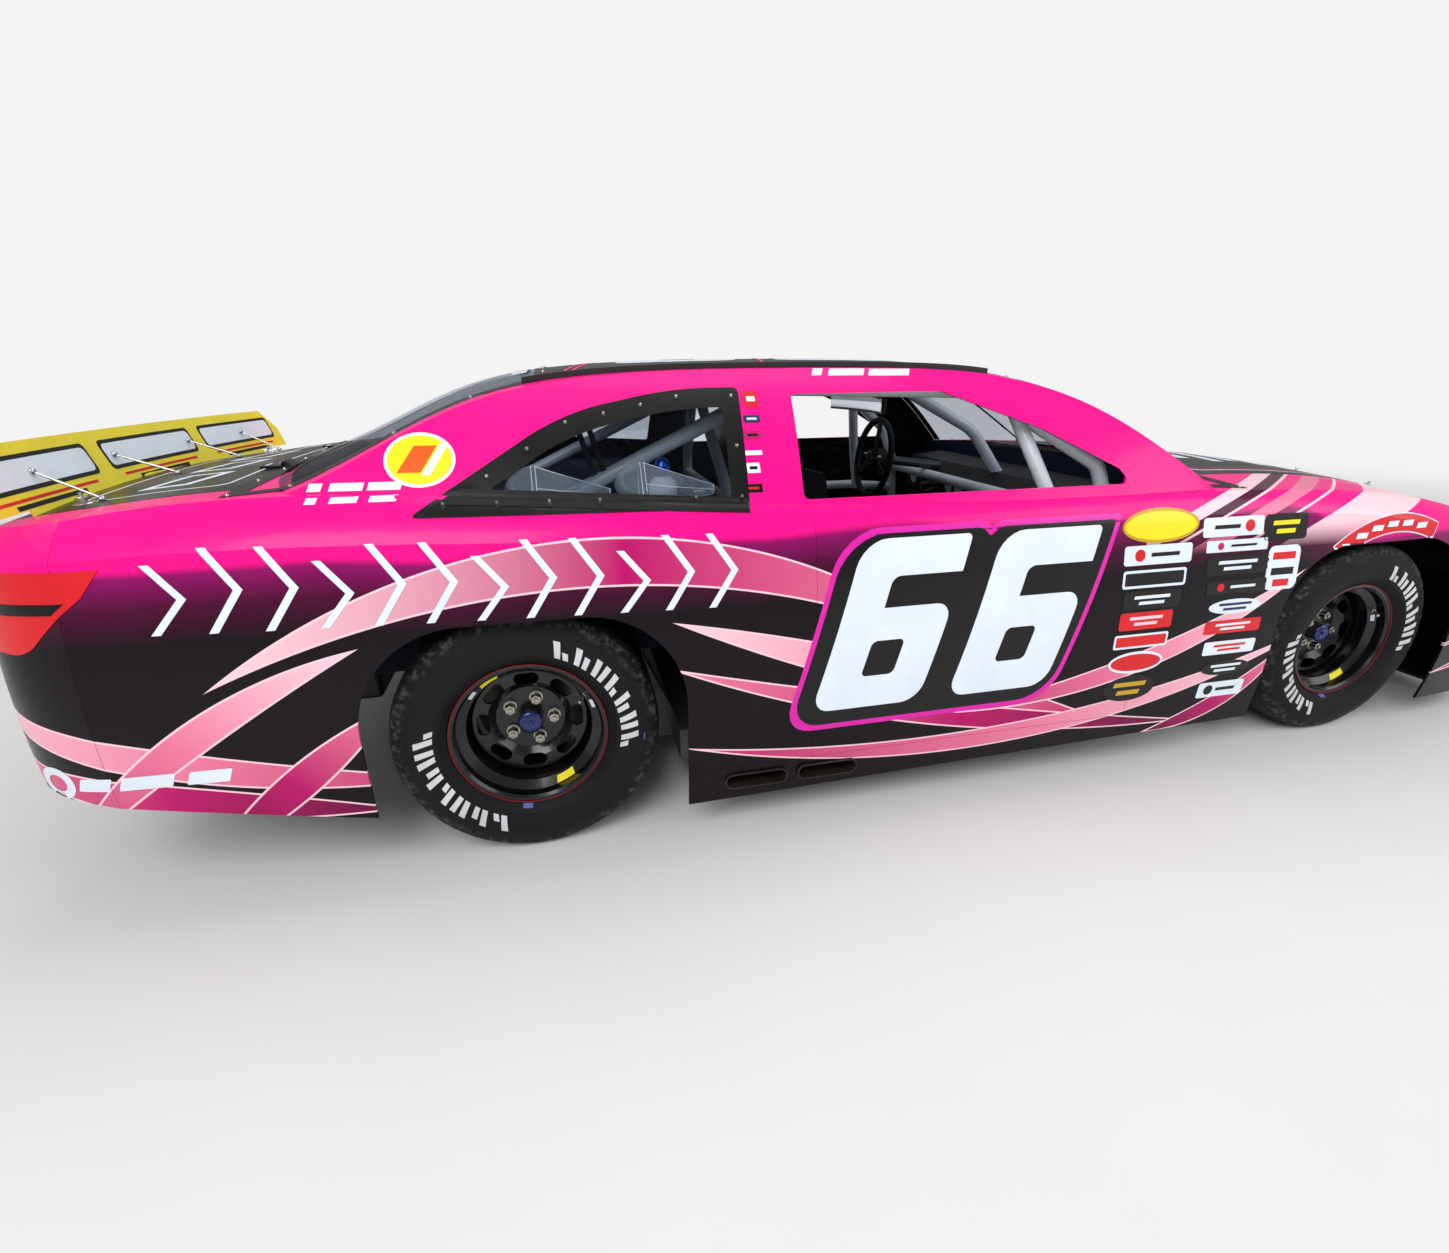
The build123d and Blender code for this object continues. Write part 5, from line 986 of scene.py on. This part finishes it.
bladeMarks = (  # width, height, corner, middle height, colour, layer
    (0.520, 0.080, 0.016, 1.046, "black", 0), (0.500, 0.060, 0.016, 1.046, "white", 1),
    (0.440, 0.007, 0.0, 0.990, "red", 0), (0.300, 0.010, 0.0, 0.976, "black", 0),
)
for toward, start in ((-1, -1.9), (1, -2.9)):  # the front and the back of the blade
    for across in (-0.585, 0.0, 0.585):
        for width, tall, radius, middle, key, layer in bladeMarks:
            view = (start, 0.0, 0.0), (0, -toward, 0), (0, 0, 1), (toward, 0, 0)
            lay(loopShape([plate(width, tall, radius, (across, middle))]), key, bladeSkin, view, layer, "deck_lid")

# lamps are printed on the corners, so they are laid on along the diagonals
lampSkin = surfaceOf("rear_bumper_cover", "quarter_panels", "nose_cover", "front_fenders")
tail, nose = (-2.300, 0.850, 1), (2.290, 0.800, -1)  # corner x, y, way to the car's middle along x
printedLamps = (  # corner, outline as (outboard, height, corner radius), finish, layer
    (tail, [(0.150, 0.868, 0), (0.128, 0.812, 0), (0.030, 0.690, 0.03), (-0.36, 0.700, 0.02), (-0.36, 0.862, 0.02)],
     "red", 2),
    (tail, [(0.105, 0.802, 0), (0.085, 0.778, 0), (-0.33, 0.772, 0), (-0.33, 0.796, 0)], "black", 4),
    (tail, [(-0.245, 0.760, 0.01), (-0.33, 0.760, 0.01), (-0.33, 0.712, 0.01), (-0.245, 0.712, 0.01)], "white", 4),
    (nose, [(0.120, 0.640, 0), (-0.02, 0.668, 0.02), (-0.34, 0.640, 0.05), (-0.32, 0.575, 0.03), (0.0, 0.560, 0.03)],
     "black", 2),
    (nose, [(0.075, 0.632, 0), (-0.03, 0.654, 0.02), (-0.31, 0.630, 0.03), (-0.30, 0.588, 0.02), (0.0, 0.574, 0.02)],
     "grey", 4),
)
lampRounds = ((-0.055, 0.058), (-0.150, 0.052), (-0.235, 0.044))  # outboard, width
for side in (-1, 1):
    def layCorner(corner, loop, key, layer, pitch=None):
        alongX, alongY, inX = corner
        toward = Vector((inX, -side, 0)).normalized()
        origin = Vector((alongX, side * alongY, 0)) - toward
        view = origin, Vector((inX, side, 0)).normalized(), (0, 0, 1), toward
        lay(loopShape([loop], pitch=pitch), key, lampSkin, view, layer)

    for corner, loop, key, layer in printedLamps:
        layCorner(corner, loop, key, layer, 0.011)
    for across, size in lampRounds:
        for share, key, layer in ((1.0, "black", 5), (0.86, "white", 6), (0.45, "grey", 7)):
            layCorner(nose, oval(size * share, size * share, (across, 0.614)), key, layer)
print("stage: windows, roof, lids, blade and lamps")

# Pins on the lids and braces behind the blade
pinKit = {"hood": (2.020, (-0.46, -0.16, 0.16, 0.46)), "deck_lid": (-2.303, (-0.603, 0.603)),
          "parts": ((0.024, 0.0022, 0.0, 28), (0.0055, 0.026, 0.0, 16), (0.00935, 0.005, 0.003, 6)),
          "ring": 0.013, "ringTilt": 0.003, "wire": 0.0012}
braceKit = {"sides": (-0.60, -0.22, 0.22, 0.60), "foot": -2.265, "high": 1.045, "rod": 0.0032, "ball": 0.0085}


def groundAt(surface, across, side, start=2.0):
    return surface.ray_cast(Vector((across, side, start)), Vector((0, 0, -1)))[:2]


for body in ("hood", "deck_lid"):
    skin, pins = surfaceOf(body), bmesh.new()
    across, sides = pinKit[body]
    for side in sides:
        spot, normal = groundAt(skin, across, side)
        placed = Matrix.Translation(spot) @ facing(normal)
        for radius, tall, base, count in pinKit["parts"]:
            cone(pins, placed, radius, radius * 0.92, tall, count, base)
        loop = [placed @ Vector((pinKit["ring"] * right, pinKit["ring"] * up, 0.013 + pinKit["ringTilt"] * right))
                for right, up in circle(20)]
        rod(pins, loop + [loop[0]], pinKit["wire"], 6)
    addPiece("lidPins" + joined(body), pins, "pinSteel", body, 35)

braces, deckSkin = bmesh.new(), surfaceOf("deck_lid")
for side in braceKit["sides"]:
    foot = groundAt(deckSkin, braceKit["foot"], side)[0]
    top = bladeSkin.ray_cast(Vector((-2.0, side, braceKit["high"])), Vector((-1, 0, 0)))[0] + Vector((0.004, 0, 0))
    rod(braces, [foot + Vector((0, 0, 0.006)), top], braceKit["rod"], 10)
    for end in (foot + Vector((0, 0, 0.004)), top):
        bmesh.ops.create_uvsphere(braces, u_segments=12, v_segments=8, radius=braceKit["ball"],
                                  matrix=Matrix.Translation(end))
addPiece("bladeBraces", braces, "pinSteel", "deck_lid")
print("stage: pins and braces")

# Inside the cabin
seatKit = {"y": 0.40, "pull": 0.045, "sewWide": 0.055, "sewDeep": 0.36, "edge": 0.12}
padTable = (  # name, middle from the seat's line, right, up, half sizes, sewn lines, fill
    ("seatCushion", (-0.045, 0, 0.334), (0, -1, 0), (1, 0, 0.072), (0.188, 0.190, 0.026), (-0.5, 0.0, 0.5), 0.7),
    ("seatBackLow", (-0.272, 0, 0.455), (0, 1, 0), (-0.316, 0, 0.949), (0.188, 0.125, 0.026), (-0.35, 0.35), 0.7),
    ("seatBackHigh", (-0.345, 0, 0.712), (0, 1, 0), (-0.18, 0, 0.984), (0.188, 0.128, 0.024), (-0.35, 0.35), 0.7),
    ("headPadBack", (-0.385, 0, 0.965), (0, 1, 0), (-0.06, 0, 1), (0.150, 0.082, 0.020), (), 0.8),
    ("headPadLeft", (-0.300, 0.190, 0.985), (-1, 0, 0), (0, 0, 1), (0.060, 0.062, 0.014), (), 0.8),
    ("headPadRight", (-0.300, -0.190, 0.985), (1, 0, 0), (0, 0, 1), (0.060, 0.062, 0.014), (), 0.8),
    ("legPadLeft", (-0.010, 0.196, 0.400), (-1, 0, 0), (0, 0, 1), (0.120, 0.040, 0.010), (), 0.8),
    ("legPadRight", (-0.010, -0.196, 0.400), (1, 0, 0), (0, 0, 1), (0.120, 0.040, 0.010), (), 0.8),
)


def fromSeat(x, y, z):  # a place measured from the seat's middle line
    return Vector((x, seatKit["y"] + y, z))


for name, middle, right, up, half, channels, fill in padTable:
    right, up = Vector(right).normalized(), Vector(up).normalized()
    out = right.cross(up)
    shape = bmesh.new()
    bmesh.ops.create_cube(shape, size=2.0)
    bmesh.ops.subdivide_edges(shape, edges=shape.edges[:], cuts=17, use_grid_fill=True)
    for point in shape.verts:
        u, v, w = point.co
        crown = max(0.0, (1 - u ** 6) * (1 - v ** 6)) ** 0.32
        sew = sum(math.exp(-((v - line) / seatKit["sewWide"]) ** 2) for line in channels)
        thick = half[2] * (seatKit["edge"] + (1 - seatKit["edge"]) * crown)
        thick *= 1 - seatKit["sewDeep"] * sew * crown * (w > 0)
        along = half[0] * u * (1 - seatKit["pull"] * (1 - abs(v) ** 3) * abs(u) ** 4)
        rise = half[1] * v * (1 - seatKit["pull"] * (1 - abs(u) ** 3) * abs(v) ** 4)
        point.co = fromSeat(*middle) + right * along + up * rise + out * thick * w
    bmesh.ops.recalc_face_normals(shape, faces=shape.faces[:])
    piece = addPiece(name, shape, "padCloth", sharp=80)

buckle = fromSeat(-0.165, 0, 0.395)
beltKit = {"wide": 0.050, "crotchWide": 0.044, "thick": 0.0028}
shoulders, laps, metal = bmesh.new(), bmesh.new(), bmesh.new()
for side in (-1, 1):
    shoulder = [fromSeat(x, side * y, z) for x, y, z in (
        (-0.372, 0.075, 0.905), (-0.340, 0.078, 0.850), (-0.312, 0.078, 0.720), (-0.262, 0.066, 0.560),
        (-0.214, 0.040, 0.450))] + [buckle + Vector((-0.006, side * 0.014, 0.016))]
    lap = [fromSeat(x, side * y, z) for x, y, z in (
        (-0.225, 0.196, 0.352), (-0.205, 0.150, 0.392), (-0.180, 0.080, 0.400))]
    lap.append(buckle + Vector((0, side * 0.022, 0.002)))
    ribbon(shoulders, bent(shoulder), (0, 1, 0), beltKit["wide"], beltKit["thick"])
    ribbon(laps, bent(lap), (0.4, 0, 1), beltKit["wide"], beltKit["thick"])
crotch = [fromSeat(-0.030, 0, 0.366), fromSeat(-0.080, 0, 0.372), buckle + Vector((0.02, 0, -0.006))]
ribbon(laps, bent(crotch), (0, 1, 0), beltKit["crotchWide"], beltKit["thick"])
for radius, tall, base, sides in ((0.034, 0.012, 0.0, 32), (0.026, 0.006, 0.012, 32), (0.011, 0.004, 0.018, 20)):
    placed = Matrix.Translation(buckle) @ Matrix.Rotation(math.radians(50), 4, "Y")
    cone(metal, placed, radius, radius * 0.9, tall, sides, base)
addPiece("shoulderBelts", shoulders, "beltWeb", sharp=50)
addPiece("lapBelts", laps, "beltRed", sharp=50)
addPiece("beltBuckle", metal, "pinSteel", sharp=35)

# steering wheel: pad and bolts
columnTurn = math.radians(8)
onWheel = moved(0.245, seatKit["y"], 0.880) @ facing((-math.cos(columnTurn), 0.0, math.sin(columnTurn)))
pad, bolts = bmesh.new(), bmesh.new()
cone(pad, onWheel, 0.044, 0.036, 0.018, 40)
bevelled(pad, [edge for edge in pad.edges if edge.calc_face_angle(0) > 0.6], 0.004, 4)
for across, up in circle(6, 0.028):
    cone(bolts, onWheel @ moved(across, up, 0.018), 0.0042, 0.0036, 0.005, 6)
for across in (0.075, -0.075):
    cone(bolts, onWheel @ moved(across, 0.010, 0.004), 0.009, 0.008, 0.012, 18)
addPiece("wheelPad", pad, "foamBlack", "steering_wheel")
addPiece("wheelBolts", bolts, "pinSteel", "steering_wheel", 35)

# dash: cases, screen, dials, switches
dashKit = {
    "x": 0.5655, "cases": ((0.400, 0.752, 0.190, 0.108), (-0.150, 0.735, 0.300, 0.090)),  # y, z, width, height
    "dials": ((0.235, 0.765, 0.034), (0.155, 0.765, 0.034), (0.560, 0.765, 0.034), (0.235, 0.695, 0.026)),
    "toggles": 9, "pitch": 0.030, "guarded": (0, 4, 8),
}
toDriver = facing((-1, 0, 0))
cases, screen, rims, dials, toggles, guards = (bmesh.new() for index in range(6))
for across, up, wide, tall in dashKit["cases"]:
    box(cases, moved(dashKit["x"] - 0.010, across, up), (0.022, wide, tall), 0.006, 3)
box(screen, moved(dashKit["x"] - 0.0215, 0.400, 0.752), (0.004, 0.160, 0.080), 0.0015, 2)
for across, up, radius in dashKit["dials"]:
    placed = moved(dashKit["x"], across, up) @ toDriver
    for size, tall, target in ((radius, 0.020, rims), (radius * 0.86, 0.0212, dials)):
        cone(target, placed, size, size * 0.96, tall, 36)
for index in range(dashKit["toggles"]):
    foot = Vector((dashKit["x"] - 0.021, -0.030 - dashKit["pitch"] * index, 0.740))
    cone(toggles, Matrix.Translation(foot) @ toDriver, 0.0065, 0.0060, 0.004, 6, -0.002)
    rod(toggles, [foot, foot + Vector((-0.017, 0, 0.009 if index % 3 else -0.009))], 0.0026, 8)
    if index in dashKit["guarded"]:
        box(guards, Matrix.Translation(foot) @ moved(-0.010, 0, -0.018), (0.020, 0.016, 0.012), 0.002, 2)
addPiece("dashCases", cases, "dashBlack")
addPiece("dashScreen", screen, "screenBlack")
addPiece("dialRims", rims, "pinSteel")
addPiece("dialFaces", dials, "dialFace")
addPiece("dashToggles", toggles, "pinSteel", sharp=35)
addPiece("toggleGuards", guards, "redVinyl")


def lathe(name, profile, foot, finish, steps=40, sharp=40):  # profile of (radius, height) over its foot
    shape = bmesh.new()
    turned(shape, [Vector(foot) + Vector((radius, 0, rise)) for radius, rise in profile], foot, (0, 0, 1), steps)
    addPiece(name, shape, finish, sharp=sharp)


# gear lever and mirror
shape = bmesh.new()
lever = [(0.300, 0.060, 0.400), (0.286, 0.072, 0.480), (0.240, 0.090, 0.600), (0.205, 0.100, 0.690)]
rod(shape, bent(lever), 0.0085, 16)
cone(shape, moved(0.300, 0.062, 0.402), 0.052, 0.012, 0.070, 28)
addPiece("gearLever", shape, "pinSteel")
lathe("leverKnob", [(0.0095, -0.006), (0.016, 0.000), (0.0235, 0.012), (0.0250, 0.022), (0.0220, 0.033),
                    (0.0130, 0.041), (0.0, 0.043)], (0.202, 0.1005, 0.688), "foamBlack", 32, 50)

mirrorKit = {"middle": (0.130, 0.300, 1.130), "half": 0.270, "tall": 0.062, "bow": 0.030, "depth": 0.016}
mirrorParts = (  # name, finish, grow, share of the depth, ahead, bevel
    ("mirrorCase", "plasticBlack", 0.006, 1.0, 0.0, 0.003),
    ("mirrorGlass", "mirrorGlass", -0.004, 0.2, -0.009, 0.0006),
)
for name, finish, grow, share, ahead, soft in mirrorParts:
    kit, shape = mirrorKit, bmesh.new()
    bmesh.ops.create_cube(shape, size=2.0)
    longEdges = [edge for edge in shape.edges if abs(edge.verts[0].co.y - edge.verts[1].co.y) > 1]
    bmesh.ops.subdivide_edges(shape, edges=longEdges, cuts=24, use_grid_fill=True)
    for point in shape.verts:
        u, v, w = point.co
        point.co = Vector(kit["middle"]) + Vector((u * (kit["depth"] / 2) * share + ahead - kit["bow"] * v * v,
                                                   v * (kit["half"] + grow), w * (kit["tall"] / 2 + grow)))
    bevelled(shape, [edge for edge in shape.edges if edge.calc_face_angle(0) > 0.8], soft, 3)
    addPiece(name, shape, finish)
shape = bmesh.new()
for side in (0.160, 0.440):
    rod(shape, [(0.134, side, 1.160), (0.142, side, 1.190)], 0.006, 10)
addPiece("mirrorStalks", shape, "pinSteel")

# cooler bottle on the shelf
bottleFoot = groundAt(surfaceOf("bulkheads", "floor_pan"), -0.885, -0.600, 1.02)[0]
lathe("coolerBottle", [(0.0, 0.000), (0.034, 0.000), (0.040, 0.004), (0.041, 0.010), (0.041, 0.078), (0.036, 0.092),
                       (0.026, 0.100), (0.026, 0.106), (0.0, 0.106)], bottleFoot, "bottleWhite")
lathe("bottleCap", [(0.0, 0.105), (0.024, 0.105), (0.025, 0.110), (0.024, 0.132), (0.018, 0.150), (0.008, 0.157),
                    (0.0, 0.158)], bottleFoot, "capMetal")

# clear ducts behind the side window: a dome, a mouth and a cone that tapers forward, with pale rods on the rims and
# seams as painted highlights
# edge: the radius of the pale rods that paint highlights on the ducts' rims and seams
ductKit = {"high": 0.056, "deep": 0.052, "middle": (-0.787, 0.984), "mouth": 0.28, "tip": 0.22, "edge": 0.0013,
           "length": 0.262, "rear": (-1.310, -1.038), "fall": 0.030, "seams": (100, 175, 250)}


def ductPoint(rear, share, turn):
    kit = ductKit
    if share < kit["mouth"]:
        size = math.sqrt(max(0.0, 1 - ((kit["mouth"] - share) / kit["mouth"]) ** 2))
    else:
        size = 1 - (1 - kit["tip"]) * (share - kit["mouth"]) / (1 - kit["mouth"])
    fall = kit["fall"] * max(0.0, share - kit["mouth"])
    height = kit["middle"][1] + kit["high"] * size * math.sin(turn) - fall
    across = kit["middle"][0] + kit["deep"] * size * math.cos(turn)
    glass = -0.8397 + 0.70 * (height - 0.964) + 0.004  # the duct lies flat against the inside of the glass
    return Vector((rear + kit["length"] * share, max(across, glass), height))


shells, edges = bmesh.new(), bmesh.new()
for rear in ductKit["rear"]:
    for point in bmesh.ops.create_grid(shells, x_segments=28, y_segments=32, size=0.5)["verts"]:
        point.co = ductPoint(rear, 0.002 + 0.998 * (point.co.x + 0.5), 2 * math.pi * (point.co.y + 0.5))
    for share, steps in ((0.26, 32), (0.30, 32), (0.99, 16)):  # pale rods on the rims of the dome, the cone and its tip: painted highlights on the clear edges
        ring = [ductPoint(rear, share, 2 * math.pi * step / steps) for step in range(steps + 1)]
        rod(edges, ring, ductKit["edge"], 6)
    # pale rods along the seams: painted highlights too
    for turn in ductKit["seams"]:
        seam = [ductPoint(rear, 0.30 + 0.70 * step / 12, math.radians(turn)) for step in range(13)]
        rod(edges, seam, ductKit["edge"], 6)
bmesh.ops.remove_doubles(shells, verts=shells.verts[:], dist=2e-5)
bmesh.ops.recalc_face_normals(shells, faces=shells.faces[:])
addPiece("ductShells", shells, "clearDuct", sharp=60, replaced=["window_ducts"])
# painted highlights: pale rods on the ducts' rims and seams
addPiece("ductRimHighlights", edges, "ductRimHighlight", sharp=60)

# two tight straps from the roof rail down to the brace
hoopSkin, roofSkin = surfaceOf("main_hoop", "cage_bars"), surfaceOf("roof_shell", "windows")
shape = bmesh.new()
for across in (0.0, 0.032):
    foot = hoopSkin.find_nearest(Vector((-1.085 + across, -0.560, 1.000)))[0]
    top = roofSkin.find_nearest(Vector((-1.145 + across, -0.600, 1.200)))[0]
    ribbon(shape, [top, top.lerp(foot, 0.5), foot], (1, 0, 0), 0.016, 0.002)
    for end in (top, foot):
        box(shape, Matrix.Translation(end), (0.022, 0.012, 0.008))
addPiece("windowStraps", shape, "beltWeb", sharp=50)

# Engine bay: covers, filter, pulleys and belt
bayKit = {
    "cover": (0.112, 0.47, 0.036), "coverSeat": (0.275, 0.630), "coverWay": (0.140, 0.050),
    "rib": (0.072, 0.007, 0.008), "ribs": 9, "ribPitch": 0.046, "boltRows": (-0.046, 0.046),
    "boltPlaces": (0.06, 0.20), "filter": 0.178, "pleats": 288, "middle": 1.240, "belt": 1.538, "beltIn": 0.95,
    "pulleys": (  # y, z, radius
        (0.0, 0.290, 0.078), (0.0, 0.455, 0.062), (-0.175, 0.520, 0.040), (0.165, 0.400, 0.046)),
}
covers, bolts = bmesh.new(), bmesh.new()
coverTop = bayKit["cover"][2]
for side in (-1, 1):
    seat = moved(bayKit["middle"], side * bayKit["coverSeat"][0], bayKit["coverSeat"][1])
    seat = seat @ facing((0, side * bayKit["coverWay"][0], bayKit["coverWay"][1]), "X")
    box(covers, seat @ moved(0, 0, coverTop / 2 - 0.002), bayKit["cover"], 0.014, 4)
    for rib in range(bayKit["ribs"]):
        along = (rib - bayKit["ribs"] // 2) * bayKit["ribPitch"]
        box(covers, seat @ moved(0, along, coverTop), bayKit["rib"])
    for end in (-1, 1):
        for across in bayKit["boltRows"]:
            for along in bayKit["boltPlaces"]:
                cone(bolts, seat @ moved(across, end * along, coverTop - 0.009), 0.007, 0.006, 0.010, 6)
    cone(bolts, seat @ moved(0, side * 0.160, coverTop - 0.003), 0.026, 0.022, 0.034, 28)
addPiece("valveCovers", covers, "castRed", sharp=35)
addPiece("coverBolts", bolts, "pinSteel", sharp=35)

lathe("carburettor", [(0.0, 0.000), (0.070, 0.000), (0.070, 0.012), (0.052, 0.018), (0.052, 0.052), (0.060, 0.058),
                      (0.060, 0.070), (0.0, 0.070)], (bayKit["middle"], 0.0, 0.690), "pinSteel", 24)
filterFoot = Vector((bayKit["middle"], 0.0, 0.750))
lathe("filterTray", [(0.060, -0.004), (0.120, -0.002), (0.168, 0.004), (0.180, 0.008), (0.182, 0.014), (0.176, 0.014),
                     (0.164, 0.010), (0.060, 0.004), (0.060, -0.004)], filterFoot, "plasticBlack", 56)
lathe("filterLid", [(0.0, 0.078), (0.030, 0.078), (0.034, 0.074), (0.060, 0.074), (0.120, 0.070), (0.164, 0.064),
                    (0.178, 0.060), (0.182, 0.054), (0.176, 0.054), (0.0, 0.062)], filterFoot, "plasticBlack",
      56)
pleats = bmesh.new()
for point in bmesh.ops.create_grid(pleats, x_segments=bayKit["pleats"], y_segments=3, size=0.5)["verts"]:
    turn = 2 * math.pi * (point.co.x + 0.5)
    ripple = bayKit["filter"] - 0.012 + 0.004 * (round((point.co.x + 0.5) * bayKit["pleats"]) % 2)
    rise = 0.010 + 0.046 * (point.co.y + 0.5)
    point.co = filterFoot + Vector((ripple * math.cos(turn), ripple * math.sin(turn), rise))
bmesh.ops.remove_doubles(pleats, verts=pleats.verts[:], dist=2e-5)
bmesh.ops.recalc_face_normals(pleats, faces=pleats.faces[:])
addPiece("filterPleats", pleats, "filterPaper", sharp=20)
lathe("filterNut", [(0.0, 0.076), (0.014, 0.076), (0.014, 0.084), (0.006, 0.088), (0.006, 0.100), (0.0, 0.101)],
      filterFoot, "pinSteel", 20)

pulleys, drive, rimPoints = bmesh.new(), bmesh.new(), []
for across, up, radius in bayKit["pulleys"]:
    placed = moved(bayKit["belt"], across, up) @ facing((1, 0, 0))
    for size, tall, middle in ((radius, 0.005, 0.012), (radius * 0.90, 0.020, 0.0), (radius, 0.005, -0.012),
                               (radius * 0.34, 0.052, -0.002), (0.009, 0.062, 0.002)):
        cone(pulleys, placed, size, size, tall, 36, middle - tall / 2)
    rimPoints += [Vector((across + right, up + high)) for right, high in circle(40, radius * bayKit["beltIn"])]
hull = [rimPoints[index] for index in convex_hull_2d(rimPoints)]
ribbon(drive, [(bayKit["belt"], spot.x, spot.y) for spot in hull + hull[:1]], (1, 0, 0), 0.015, 0.005)
addPiece("pulleys", pulleys, "pinSteel", sharp=35)
addPiece("driveBelt", drive, "foamBlack")
print("stage: cabin and engine bay")

for (key, body), shape in sheets.items():
    addPiece(key + "Marks" + joined(body), shape, key + "Vinyl", body)
print("stage: marks placed")
